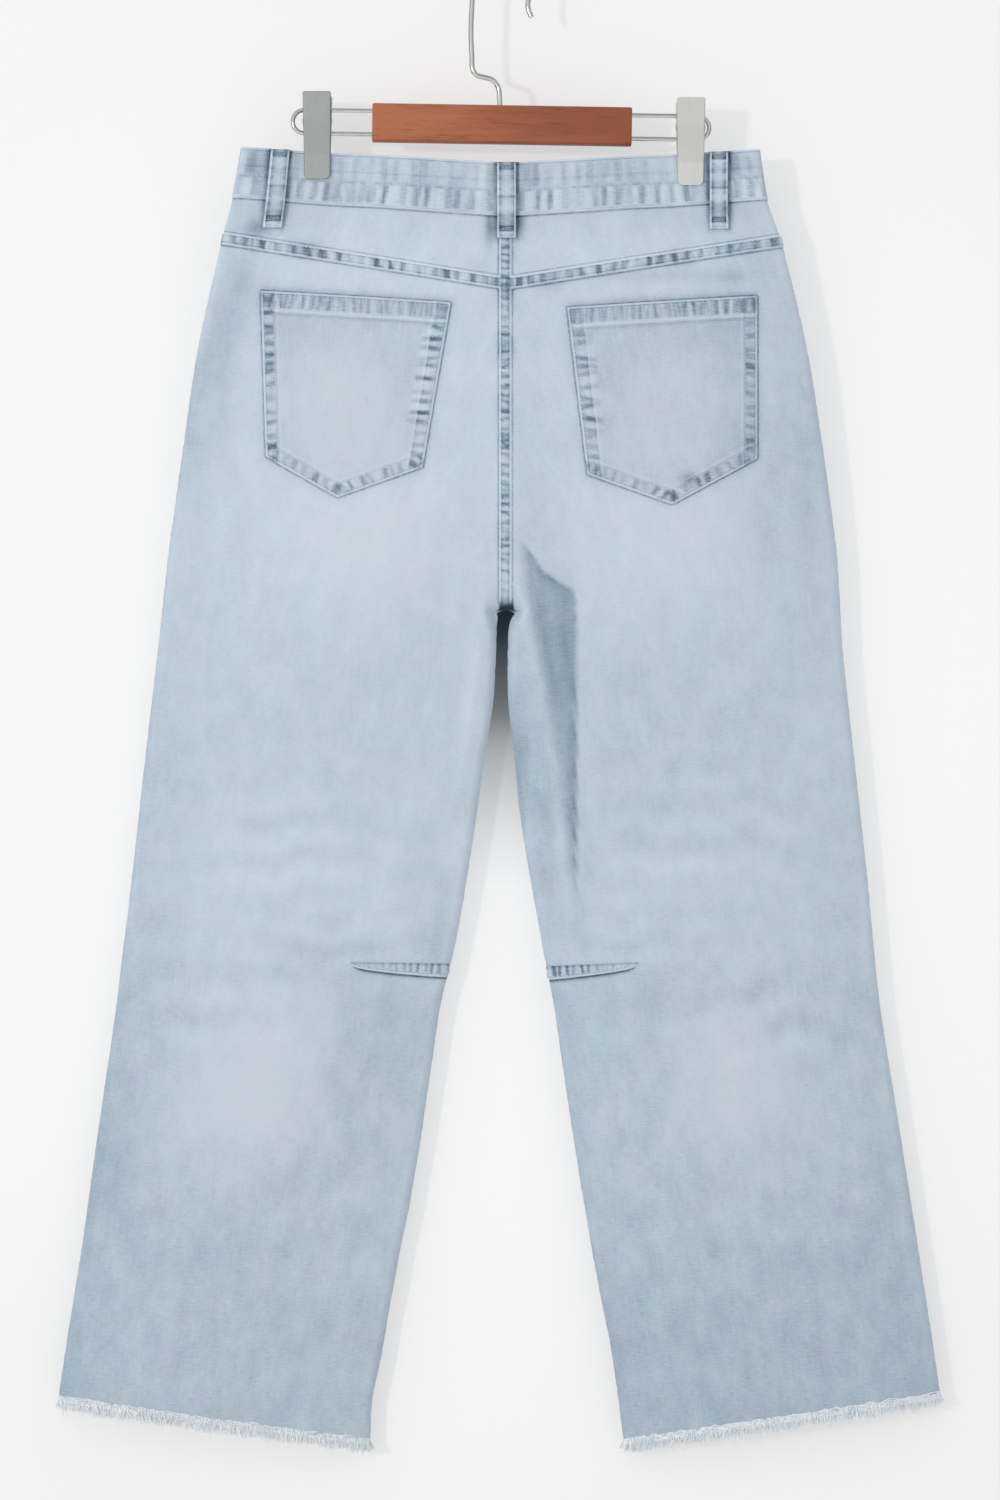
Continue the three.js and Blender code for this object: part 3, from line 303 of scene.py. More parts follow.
def ropes(run, off, seed, spacing, lean=0.0, slant=0.22):
    """Puckers across a seam, from -1 in a valley to 1 on a ridge."""
    rng = np.random.default_rng(seed)
    count = int(1250 / spacing)
    places = np.cumsum(spacing * rng.uniform(0.7, 1.3, count)) - 2 * spacing
    depths, slants = rng.uniform(0.62, 1.0, count), lean + rng.uniform(-slant, slant, count)
    widths = spacing * rng.uniform(0.22, 0.38, count)
    valley = np.zeros(np.broadcast(run, off).shape)
    for k in np.flatnonzero((places > np.min(run) - 20) & (places < np.max(run) + 20)):
        aside = (run - places[k] - slants[k] * off) / widths[k]
        valley = np.maximum(valley, depths[k] * np.exp(-(aside**4)))
    return 1.0 - 2.0 * valley


def from_line(x, z, start, end):
    """Distance to the left of the line from start to end, and how far along it."""
    run = np.subtract(end, start)
    run = run / np.hypot(*run)
    across, down = x - start[0], z - start[1]
    return down * run[0] - across * run[1], across * run[0] + down * run[1]


def smoothed(table, z, reach):
    """What a table of (height, value), from the top down, gives on average from "reach" under z to
    "reach" over it."""
    heights, values = np.array(table[::-1], float).T
    return sum(np.interp(z + step, heights, values) for step in np.linspace(-reach, reach, 9)) / 9


def rounding(inside, radius):
    """The share of its radius by which a rounded edge falls back, "inside" millimetres from its end."""
    return 1 - np.sqrt(1 - np.clip(1 - inside / radius, 0, 1) ** 2)


# ---- the skin


class Level:
    """The sizes of one half at the heights "centre"."""

    def __init__(self, half, centre):
        rows, centre = LEVELS[half], np.asarray(centre, float)
        self.half, self.sign, self.centre = half, SIGN[half], centre
        heights, last = rows[:, 0], len(rows) - 1
        height = np.clip(centre, heights[-1], heights[0])
        k = np.clip(np.searchsorted(-heights, -height, side="right") - 1, 0, last - 1)
        before, after = np.maximum(k - 1, 0), np.minimum(k + 2, last)
        span = heights[k + 1] - heights[k]
        share = (height - heights[k]) / span
        square, cube = share**2, share**3

        def between(values):
            slope_from = (values[k + 1] - values[before]) / (heights[k + 1] - heights[before])
            slope_to = (values[after] - values[k]) / (heights[after] - heights[k])
            return ((2 * cube - 3 * square + 1) * values[k] + (cube - 2 * square + share) * span * slope_from
                    + (3 * square - 2 * cube) * values[k + 1] + (cube - square) * span * slope_to)

        self.side, self.out, self.inner, self.edge, self.crown = map(between, rows.T[1:])
        self.inner = np.where(centre >= CROTCH, SEAM_X, self.inner)
        self.leg = soft((CROTCH - centre) / (CROTCH - LEG_START))
        seat = mix(SEAT_WIDTH, SEAT_FOOT_WIDTH, soft((SEAT_WIDE_AT - centre) / (SEAT_WIDE_AT - CROTCH)))
        self.inner_width = np.where(centre >= CROTCH, seat, mix(INSEAM_WIDTH, self.edge, self.leg))
        down = np.clip((CROTCH_START - centre) / (CROTCH_START - CROTCH), 0, 1)
        self.seam_depth = np.sqrt(1 - down**2)
        self.fold_length = self.edge * math.pi / 2
        self.flat_length = np.abs(self.out - self.inner) - self.edge - self.inner_width
        self.inner_length = mix(self.inner_width, self.inner_width * math.pi / 2, self.leg)
        self.length = self.fold_length + self.flat_length + self.inner_length


def level_height(level, face, x):
    """Height of a level at x. The front hangs lower than the back towards the centre."""
    share = np.clip((level.out - x) / (level.out - level.inner), 0, 1)
    drop = FRONT_DROP * soft((level.centre - CROTCH) / FRONT_DROP_OVER) if face == "front" else 0
    return mix(level.side, level.centre, share) - drop * soft(share)


def hollow(x, z):
    """Height and tone of the hollow on the right thigh and of the ridge beside it. The hollow is painted
    darker, partly dye kept in it and partly painted shade, with a paler streak along it; the ridge gets a
    painted highlight.
    """
    soft_side, sharp_side = (np.interp(z, HOLLOW[::-1, 0], HOLLOW[::-1, k]) for k in (1, 2))
    width = soft_side - sharp_side
    ends = soft((width - 1) / 6)
    inside = ends * soft((soft_side + 2 - x) / 11) * soft((x - sharp_side) / 3 + 0.5)
    slope = 0.35 + 0.65 * np.clip((soft_side - x) / np.maximum(width, 1), 0, 1)
    ridge = bump(x - soft_side - 3.5, 3.5) * ends * soft((-455 - z) / 20)
    streak = 0.12 * bump(x - mix(soft_side, sharp_side, 0.45), 4) * inside
    # Darker in the hollow: partly kept dye, partly painted shade. The ridge's paler tone is a painted
    # highlight.
    dye = inside * (0.35 + 0.65 * slope) * HOLLOW_DYE_AND_SHADE
    return ridge * 1.3 - inside * slope * HOLLOW_DEPTH, ridge * 0.14 - dye + streak


def creases(half, face, x, z):
    """Height of the creases at x and z, and the tone they add there: kept dye and painted shade in
    the creases, wear and painted highlight on the ridges.
    """
    height, dye = hollow(x, z) if (half, face) == ("right", "back") else np.zeros((2, *x.shape))
    for start, end, outer, inner, deep, kept in CREASES[half, face]:
        length = math.dist(start, end)
        off, run = from_line(x, z, start, end)
        off = off * np.sign((start[1] - end[1]) * SIGN[half])
        strength = bump(off, np.where(off > 0, outer, inner))
        strength = strength * soft(run / length * 5) * soft((1 - run / length) * 2.2)
        # The crease's tone adds kept dye and painted shade where darker, wear and painted highlight where
        # paler.
        height, dye = height + deep * strength, dye + kept * strength
    return height, dye


def skin_depth(level, face, x):
    """Depth of the cloth's outer surface from the plane between front and back."""
    across = np.clip((x - level.inner) / (level.out - level.inner), 0, 1)
    seat = np.maximum(np.cos(across * math.pi / 2), 0) ** 0.7
    leg = np.maximum(np.sin(across * math.pi), 0) ** 0.8
    full = level.edge + level.crown * mix(seat, leg, soft((CROWN_START - level.centre) / CROWN_OVER))
    beside_clip = np.exp(-(((x - CLIP_X[level.half]) / PINCH_X) ** 4))
    pinch = beside_clip * np.exp(-(((TOP - level.centre) / PINCH_Z) ** 4))
    z = level_height(level, face, x)
    return mix(full, PINCH_DEPTH, pinch) + creases(level.half, face, x, z)[0]


def skin(level, face, along):
    """Points of the outer surface, "along" millimetres from the side seam."""

    def place(x, share):
        y = share * skin_depth(level, face, x) * SIGN[face]
        return np.stack(np.broadcast_arrays(x, y, level_height(level, face, x)), -1)

    turn = np.clip(along / level.edge, 0, math.pi / 2)
    side_fold = place(level.out - level.sign * level.edge * (1 - np.cos(turn)), np.sin(turn))
    past = along - level.fold_length
    flat = place(level.out - level.sign * (level.edge + past), 1.0)
    share = np.clip((past - level.flat_length) / level.inner_length, 0, 1)
    width, quarter = level.sign * level.inner_width, share * math.pi / 2
    seat = place(level.inner + width * (1 - share), mix(1, level.seam_depth, soft(share)))
    inner_fold = place(level.inner + width * (1 - np.sin(quarter)), np.cos(quarter))
    inner = mix(seat, inner_fold, level.leg[..., None])
    on_side, on_flat = along < level.fold_length, past <= level.flat_length
    return np.where(on_side[..., None], side_fold, np.where(on_flat[..., None], flat, inner))


def surface(level, face, along):
    """Points of the outer surface and the outward normals there. On a seam a normal lies in the plane
    that both sides share."""
    across = skin(level, face, np.minimum(level.length, along + 0.6))
    across -= skin(level, face, np.maximum(0, along - 0.6))
    upper, lower = Level(level.half, np.minimum(TOP, level.centre + 2)), Level(level.half, level.centre - 2)
    share = along / level.length
    down = skin(lower, face, share * lower.length) - skin(upper, face, share * upper.length)
    normal = np.cross(down, across) * level.sign * SIGN[face]
    at_side, at_inner = along < 1e-6, along > level.length - 1e-6
    normal[..., 1] = np.where(at_side | (at_inner & (level.centre <= CROTCH)), 0, normal[..., 1])
    normal[..., 0] = np.where(at_inner & (level.centre >= CROTCH), 0, normal[..., 0])
    normal /= np.maximum(np.linalg.norm(normal, axis=-1, keepdims=True), 1e-9)
    return skin(level, face, along), normal


def centre_through(half, face, x, z):
    """The centre height of the level that passes through x and z."""
    high, low = np.full(x.shape, TOP + 30.0), np.full(x.shape, float(HEM))
    for _ in range(34):
        middle = (high + low) / 2
        above = level_height(Level(half, middle), face, x) > z
        high, low = np.where(above, middle, high), np.where(above, low, middle)
    return np.minimum(TOP, (high + low) / 2)


def along_at(level, x):
    """How far along a level from the side seam x is."""
    from_side, from_inner = np.abs(level.out - x), np.abs(x - level.inner)
    near = np.clip(1 - from_inner / level.inner_width, 0, 1)
    share = mix(near, np.arcsin(near) * 2 / math.pi, level.leg)
    in_zone = level.fold_length + level.flat_length + share * level.inner_length
    return np.where(from_inner >= level.inner_width, level.fold_length + from_side - level.edge, in_zone)


def by_half(x):
    """Each half that some of x lies on, and which of x does."""
    left = x >= SEAM_X
    return [(half, there) for half, there in (("left", left), ("right", ~left)) if there.any()]


def over(face, x, z):
    """Points of the skin over x and z with their normals, anywhere but on the side fold."""
    x, z = np.broadcast_arrays(np.asarray(x, float), np.asarray(z, float))
    points, normals = np.zeros((2, *x.shape, 3))
    for half, there in by_half(x):
        level = Level(half, centre_through(half, face, x[there], z[there]))
        points[there], normals[there] = surface(level, face, along_at(level, x[there]))
    return points, normals


# ---- nodes as expressions


class Wire:
    """A socket that takes part in sums, and the maker of any other node in its tree."""

    def __init__(self, tree, socket=None):
        self.tree, self.socket = tree, socket

    def add(self, kind, *values, at=None, out=0, **named):
        """A node of this kind. Names in small letters are its settings, which are set first. Its sockets
        come in order, by number in "at", or by name."""
        families = ("ShaderNode", "GeometryNode", "FunctionNode", "Node")
        family = next(family for family in families if hasattr(bpy.types, family + kind))
        node, inputs = self.tree.nodes.new(family + kind), {**dict(enumerate(values)), **(at or {})}
        for name, value in named.items():
            if name[0].isupper():
                inputs[name.replace("_", " ")] = value
            elif name != "stops":
                setattr(node, name, value)
        for k, (place, grey) in enumerate(named.get("stops", ())):
            ramp = node.color_ramp.elements
            stop = ramp[k] if k < len(ramp) else ramp.new(place)
            stop.position, stop.color = place, (grey, grey, grey, 1)
        for name, value in inputs.items():
            socket = node.inputs[name]
            if isinstance(value, Wire):
                self.tree.links.new(value.socket, socket)
            else:
                socket.default_value = (*value[:3], 1.0) if socket.type == "RGBA" else value
        return Wire(self.tree, node.outputs[out] if node.outputs else None)

    def out(self, name):
        """Another output of the same node."""
        return Wire(self.tree, self.socket.node.outputs[name])

    def sum(self, operation, *values, clamp=False):
        return self.add("Math", *values, operation=operation, use_clamp=clamp)

    __add__ = __radd__ = lambda self, other: self.sum("ADD", self, other)
    __mul__ = __rmul__ = lambda self, other: self.sum("MULTIPLY", self, other)
    __sub__ = lambda self, other: self.sum("SUBTRACT", self, other)
    __rsub__ = lambda self, other: self.sum("SUBTRACT", other, self)
    __neg__ = lambda self: self * -1.0

    def clamp(self):
        return self.sum("ADD", self, 0.0, clamp=True)

    def absolute(self):
        return self.sum("ABSOLUTE", self)

    def vector(self, operation, other):
        """A vector sum of this socket and another, which is a number for SCALE."""
        second = 3 if operation == "SCALE" else 1
        return self.add("VectorMath", operation=operation, at={0: self, second: other})

    def axis(self, name):
        return self.add("SeparateXYZ", self, out=name)

    def noise(self, scale, detail=2.0, roughness=0.5, **more):
        return self.add("TexNoise", Vector=self, Scale=scale, Detail=detail, Roughness=roughness, **more)

    def stretch(self, scale, turn=(0, 0, 0)):
        return self.add("Mapping", Vector=self, Scale=scale, Rotation=turn)

    def blend(self, factor, start, end, mode="MIX"):
        return self.add("Mix", data_type="RGBA", blend_type=mode, at={0: factor, 6: start, 7: end}, out=2)

    def ramp(self, *stops):
        """A soft step through grey levels, given as (place, value)."""
        return self.add("ValToRGB", stops=stops, Fac=self)


def scaled(values, share):
    return [value * share for value in values[:3]]


class Finish(Wire):
    """An empty material, and the maker of its nodes."""

    def __init__(self, name):
        self.material = bpy.data.materials.new(name)
        self.material.use_nodes = True
        super().__init__(self.material.node_tree)
        self.tree.nodes.clear()

    def place(self):
        """Where a pattern in the object's own space is read."""
        return self.add("TexCoord", out="Object")

    def close(self, colour, roughness, height, strength, distance, **constants):
        """The Principled shader, with a bump. Constants are set on its own sockets."""
        bump_map = self.add("Bump", Strength=strength, Distance=distance, Height=height)
        shader = self.add(
            "BsdfPrincipled", Base_Color=colour, Roughness=roughness, Normal=bump_map, **constants
        )
        self.add("OutputMaterial", Surface=shader)
        return self.material


def denim_material(name, wash, inside):
    """Washed twill. "tone" runs from -1, unworn dye, to 1, worn pale, and carries painted light and shade as
    well;
    past -1 it darkens to near black, painted shade. "blush" is the warm fade; "rim" places the lines along
    edges, a painted shadow line among them; "seam" is where puckers make the wash uneven."""
    wire = Finish(name)
    cloth = wire.add("UVMap", uv_map="cloth")
    fields = ("tone", "blush", "rim", "seam")
    tone, blush, rim, seam = (wire.add("Attribute", attribute_name=field, out="Fac") for field in fields)
    flecks, threads, mottle, speck, broken = (
        cloth.stretch((across, down, 1)).noise(1.0, detail, rough)
        for across, down, detail, rough in (
            (150, 820, 2.0, 0.55), (900, 38, 3.0, 0.6), (60, 34, 4.0, 0.62), (230, 1050, 1.0, 0.4),
            (240, 240, 2.0, 0.6),
        )
    )
    pale_fleck, deep_fleck = speck.ramp((0.64, 0.0), (0.74, 1.0)), speck.ramp((0.24, 1.0), (0.35, 0.0))
    twill = wire.add("TexWave", wave_type="BANDS", bands_direction="X",
                     Vector=cloth.stretch((1, 1, 1), (0, 0, 1.1)), Scale=440.0, Distortion=0.6)
    grain = (flecks - 0.5) * 0.42 + (threads - 0.5) * 0.34 + (mottle - 0.5) * 0.68
    grain = grain + (twill - 0.5) * 0.05 + pale_fleck * 0.24 - deep_fleck * 0.20

    def line(at, reach):
        return (1 - (rim - at).absolute() * (1 / reach)).clamp()

    level = tone + grain * (1 + seam * 0.8) + (cloth.noise(9.0) - 0.5) * 0.24
    # Lines along edges: a pale worn line just inside a turned edge and a darker line inside that; a painted
    # shadow line just outside an edge.
    level = level + line(-0.75, 0.7) * (broken * 0.7 + 0.12) - line(-1.95, 0.6) * broken
    level = level - line(0.8, 0.95) * broken * 1.5
    if inside:
        level = level * 0.5 + 0.35
    kept = (-level).clamp()
    colour = wire.blend(level.clamp(), wash.base, wash.pale)
    colour = wire.blend(kept, colour, wash.deep)
    # Past -1 the tone goes to near black, which is mostly painted shade: the gaps at the crotch and beside
    # the belt loops.
    colour = wire.blend((-1 - level).clamp(), colour, scaled(wash.deep, 0.13))
    colour = wire.blend(blush.clamp() * (1 - kept), colour, wash.blush)
    tint = wire.blend(cloth.noise(30.0), (0.93, 1.014, 0.985), (1.07, 0.986, 1.015))
    colour = wire.blend(1.0, colour, tint, "MULTIPLY")
    return wire.close(colour, 0.86 + (mottle - 0.5) * 0.14, flecks * 0.5 + threads * 0.35 + twill * 0.4,
                      0.35, 0.0004, Sheen_Weight=0.12, Sheen_Roughness=0.45, Specular_IOR_Level=0.22)


def thread_material(name, light, dark, grain=2600.0, glow=0.0):
    """Spun cotton: fine mottled strands in object space. "glow" is painted light: the strands glow faintly in
    their own colour, standing in for light that fluff passes on.
    """
    wire = Finish(name)
    place = wire.place()
    strand, patch = place.noise(grain, 2.0, 0.6), place.noise(60.0)
    colour = wire.blend((strand * 0.6 + patch * 0.6 - 0.1).clamp(), dark, light)
    return wire.close(colour, 0.8 + strand * 0.1, strand, 0.4, 0.0002, Sheen_Weight=0.15,
                      Specular_IOR_Level=0.25, Emission_Color=light, Emission_Strength=glow)


def wood_material(name, look):
    """Stained hardwood: long grain along X, with fine pores under a satin varnish."""
    wire = Finish(name)
    place = wire.place()
    grain = place.stretch((16, 160, 240)).noise(1.0, 5.0, 0.62)
    bands = place.stretch((9, 30, 60)).noise(1.0, 3.0, 0.55)
    pore = place.stretch((60, 600, 900)).noise(1.0, 1.0).ramp((0.28, 1.0), (0.40, 0.0))
    share = (grain * 0.4 + bands * 0.6 + place.axis("X") * 2.6).ramp((0.30, 0.0), (0.72, 1.0))
    colour = wire.blend(share, look.wood_dark, look.wood_light)
    colour = wire.blend(pore * 0.4, colour, scaled(look.wood_dark, 0.5))
    return wire.close(colour, 0.48 + grain * 0.12, grain * 0.4 - pore * 0.6, 0.25, 0.0002,
                      Coat_Weight=0.04, Coat_Roughness=0.3, Specular_IOR_Level=0.3)


def metal_material(name, colour, rough, scratch, brushed=(1, 1, 1)):
    """Plated steel with fine brushing and a few dull patches."""
    wire = Finish(name)
    place = wire.place()
    brush, patch = place.stretch(scaled(brushed, 700)).noise(1.0, 3.0, 0.6), place.noise(90.0, 3.0, 0.6)
    tint = wire.blend(((patch - 0.42) * 1.6 + (brush - 0.5) * 0.5).clamp(), colour, scaled(colour, 0.8))
    return wire.close(tint, rough + (patch - 0.5) * 0.16, brush, scratch, 0.0001, Metallic=1.0)


# ---- meshes and pieces

MADE = {}


def once(name, maker, *values, **settings):
    """A material or a geometry tree, made when it is first asked for."""
    if name not in MADE:
        MADE[name] = maker(name, *values, **settings)
    return MADE[name]


def turns(steps):
    """Equal turns all round."""
    return np.arange(steps) * 2 * math.pi / steps


def quads_between(columns, rows, joined=False):
    """Corner numbers of the faces of a grid of rows by columns."""
    spans = columns if joined else columns - 1
    j, i = np.meshgrid(np.arange(rows - 1), np.arange(spans), indexing="ij")
    here, right = j * columns + i, j * columns + (i + 1) % columns
    return np.stack([here, here + columns, right + columns, right], -1).reshape(-1, 4)


def wall_faces(rows, columns):
    """Corner numbers of a closed wall between two grids: its face, its back and its rims."""
    front, count = quads_between(columns, rows), rows * columns
    row, column = np.arange(rows - 1), np.arange(columns - 1)
    rim = [column, columns - 1 + columns * row, count - 1 - column, columns * (rows - 1 - row)]
    rim = np.concatenate(rim)
    after = np.roll(rim, -1)
    rims = np.stack([rim, after, after + count, rim + count], -1)
    return np.concatenate([front, front[:, ::-1] + count, rims])


def turned_out(points, faces):
    """The same faces, all pointing outwards."""
    corners = points[faces]
    across = np.cross(corners[:, 2] - corners[:, 0], corners[:, -1] - corners[:, 1])
    return faces if np.einsum("ij,ij->", corners.mean(1), across) > 0 else faces[:, ::-1]


def mesh_from(name, points, faces, materials, sharp=50, uv=None, slots=None, **fields):
    """A smooth-shaded mesh from points in millimetres, with its UV map and point attributes."""
    mesh = bpy.data.meshes.new(name)
    faces = turned_out(points, faces).astype(np.int32)
    mesh.vertices.add(len(points))
    mesh.vertices.foreach_set("co", (points * MM).astype(np.float32).ravel())
    mesh.loops.add(faces.size)
    mesh.loops.foreach_set("vertex_index", faces.ravel())
    mesh.polygons.add(len(faces))
    starts = np.arange(len(faces), dtype=np.int32) * faces.shape[1]
    mesh.polygons.foreach_set("loop_start", starts)
    if slots is not None:
        mesh.polygons.foreach_set("material_index", slots.astype(np.int32))
    mesh.update(calc_edges=True)
    mesh.polygons.foreach_set("use_smooth", np.ones(len(faces), bool))
    if uv is not None:
        layer = mesh.uv_layers.new(name="cloth")
        layer.uv.foreach_set("vector", (uv * MM)[faces.ravel()].astype(np.float32).ravel())
    for field, values in fields.items():
        data = mesh.attributes.new(field, "FLOAT", "POINT").data
        data.foreach_set("value", values.astype(np.float32).ravel())
    mesh.set_sharp_from_angle(angle=math.radians(sharp))
    for material in materials:
        mesh.materials.append(material)
    mesh.validate()
    return mesh


def add_piece(mesh, slot, *nodes):
    """Puts a finished mesh in the scene, on the body, in place of its CAD nodes."""
    piece = bpy.data.objects.new(mesh.name, mesh)
    bpy.context.scene.collection.objects.link(piece)
    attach(piece, BODY)
    if nodes:
        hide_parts(*nodes)
    return piece


def lengths(points, axis):
    """The length of each row or column of a grid of points, in metres."""
    return np.linalg.norm(np.diff(points, axis=axis), axis=-1).sum(axis) * MM


def grid_area(points):
    """Area of a grid of points, in square metres."""
    across, other = points[1:, 1:] - points[:-1, :-1], points[1:, :-1] - points[:-1, 1:]
    return float(np.linalg.norm(np.cross(across, other), axis=-1).sum() / 2) * MM * MM


# ---- geometry nodes


class Maker:
    """A geometry tree with named inputs. "build" makes shapes of them, which get the last input, the
    material."""

    SOCKETS = {float: "NodeSocketFloat", int: "NodeSocketInt", type(None): "NodeSocketMaterial"}

    def __init__(self, name, build, **defaults):
        self.tree = bpy.data.node_groups.new(name, "GeometryNodeTree")
        for way in ("OUTPUT", "INPUT"):
            self.tree.interface.new_socket("Geometry", in_out=way, socket_type="NodeSocketGeometry")
        self.sockets, titles = {}, {label: label.replace("_", " ").capitalize() for label in defaults}
        for label, title in {**titles, "material": "Material"}.items():
            value = defaults.get(label)
            kind = self.SOCKETS[type(value)]
            socket = self.tree.interface.new_socket(title, in_out="INPUT", socket_type=kind)
            if value is not None:
                socket.default_value = value
            self.sockets[label] = socket.identifier
        start = Wire(self.tree).add("GroupInput", out="Geometry")
        shapes = build(start, *(start.out(title) for title in titles.values()))
        shapes = start.add("RealizeInstances", Geometry=shapes)
        shapes = start.add("SetMaterial", Geometry=shapes, Material=start.out("Material"))
        start.add("GroupOutput", Geometry=start.add("SetShadeSmooth", Geometry=shapes))

    def run(self, name, mesh, **values):
        """The plain mesh that the tree makes from a mesh."""
        carrier = bpy.data.objects.new(name + ".maker", mesh)
        bpy.context.scene.collection.objects.link(carrier)
        modifier = carrier.modifiers.new("maker", "NODES")
        modifier.node_group = self.tree
        for label, value in values.items():
            modifier[self.sockets[label]] = value
        evaluated = carrier.evaluated_get(bpy.context.evaluated_depsgraph_get())
        made = bpy.data.meshes.new_from_object(evaluated)
        carrier.modifiers.remove(modifier)
        bpy.data.objects.remove(carrier)
        if not made.polygons:
            raise RuntimeError(f"{name} came out empty")
        made.name = name
        return made


def sewn_thread(start, length, gap, radius):
    """Thread stitches laid end to end along lines that carry an "up" direction."""
    curve = start.add("MeshToCurve", Mesh=start)
    points = start.add("ResampleCurve", mode="LENGTH", Curve=curve, Length=length + gap)
    bead = start.add("MeshUVSphere", Segments=6, Rings=4, Radius=1.0)
    size = start.add("CombineXYZ", length * 0.5, radius, radius * 0.8)
    up = start.add("InputNamedAttribute", data_type="FLOAT_VECTOR", Name="up")
    along = start.add("InputTangent")
    turned = start.add("AlignRotationToVector", axis="X", Vector=along)
    turned = start.add("AlignRotationToVector", axis="Z", pivot_axis="X", Rotation=turned, Vector=up)
    return start.add("InstanceOnPoints", Points=points, Instance=bead, Rotation=turned, Scale=size)


def lines_mesh(lines):
    """Bare edges through lists of points in millimetres, each point with its "up" direction."""
    points, ups = (np.concatenate([line[k] for line in lines]) for k in (0, 1))
    edges, first = [], 0
    for line, _ in lines:
        edges += [(first + k, first + k + 1) for k in range(len(line) - 1)]
        first += len(line)
    mesh = bpy.data.meshes.new("lines")
    mesh.from_pydata((points * MM).tolist(), edges, [])
    field = mesh.attributes.new("up", "FLOAT_VECTOR", "POINT")
    field.data.foreach_set("vector", ups.astype(np.float32).ravel())
    return mesh


def stitch(name, lines, length=None):
    """Sews rows of stitches and adds them as one piece."""
    sizes, wash = bpy.context.scene.jeans_cloth, bpy.context.scene.jeans_wash
    thread = once("thread", thread_material, wash.thread, wash.thread_dark)
    given = {"stitch_length": length or sizes.stitch, "stitch_gap": sizes.stitch_gap,
             "thread_radius": sizes.thread_radius}
    maker = once("stitches", Maker, sewn_thread, **given)
    add_piece(maker.run(name, lines_mesh(lines), material=thread, **given), "denim")


def bartack(centre, across, up, width, height):
    """A dense zigzag that ties down the end of a seam."""
    count = max(6, int(height / 0.55))
    side = np.where(np.arange(count) % 2, 0.5, -0.5)[:, None] * width
    down = np.linspace(-0.5, 0.5, count)[:, None] * height
    return centre + across * side + np.cross(up, across) * down, np.tile(up, (count, 1))


# ---- cloth fields


def spaced(*spans):
    """Heights from the first to the last, each span as (from, to, step)."""
    stops = [np.array([spans[0][0]], float)]
    for start, end, step in spans:
        count = max(1, round(abs(end - start) / step))
        stops.append(np.linspace(start, end, count + 1)[1:])
    return np.concatenate(stops)


def columns_of(level, flat_steps, fold_steps=6, inner_steps=15):
    """Distances from the side seam, closer together round the folds and beside the centre seam."""
    turn, flat, inner = (np.linspace(0, 1, count + 1) for count in (fold_steps, flat_steps, inner_steps))
    fold, past = level.fold_length[:, None], (level.fold_length + level.flat_length)[:, None]
    flat = level.flat_length[:, None] * flat[1:]
    inner = level.inner_length[:, None] * (1 - (1 - inner[1:]) ** 1.2)
    columns = np.concatenate([fold * turn, fold + flat, past + inner], 1)
    columns[:, -1] = level.length
    return columns


def wash_at(half, face, x, z, level=None, along=None):
    """Tone and blush of the washed cloth over x and z, with painted light and shade from the creases, the
    patches, the halves and the folds.
    """
    heights, values = np.array(WEAR_DOWN[face][::-1], float).T
    tone, warmth = np.interp(z, heights, values) + HALF_PAINTED_LIGHT[half], np.zeros(x.shape)
    for middle_x, middle_z, across, down, paler, warmer in FADES_AND_SHADES[half, face]:
        spot = bump(x - middle_x, across) * bump(z - middle_z, down)
        tone, warmth = tone + paler * spot, warmth + warmer * spot
    tone = tone + creases(half, face, x, z)[1]
    if level is not None:
        # Painted light and shade along the folds, and painted shade over the side fold's turn.
        tone = tone + OUTER_EDGE_LIGHT[half] * bump(along, 10) - 0.10 * bump(along, 46)
        tone = tone + INNER_EDGE_LIGHT[half] * soft((-540 - z) / 50) * bump(level.length - along, 8)
    return tone, warmth


def ripple_height(half, face, x, z):
    """Height of the soft waves across the legs."""
    height = np.zeros(x.shape)
    for seed, middle_x, middle_z, across, down, spacing, hang, tall in RIPPLES[half, face]:
        aside = (x - middle_x) / across
        place = (z - middle_z + hang * aside**2) / spacing + waves(x, seed, 110, 0.22)
        height += tall * bump(aside, 1) * bump(z - middle_z, down) * np.sin(place * 2 * math.pi)
    return height


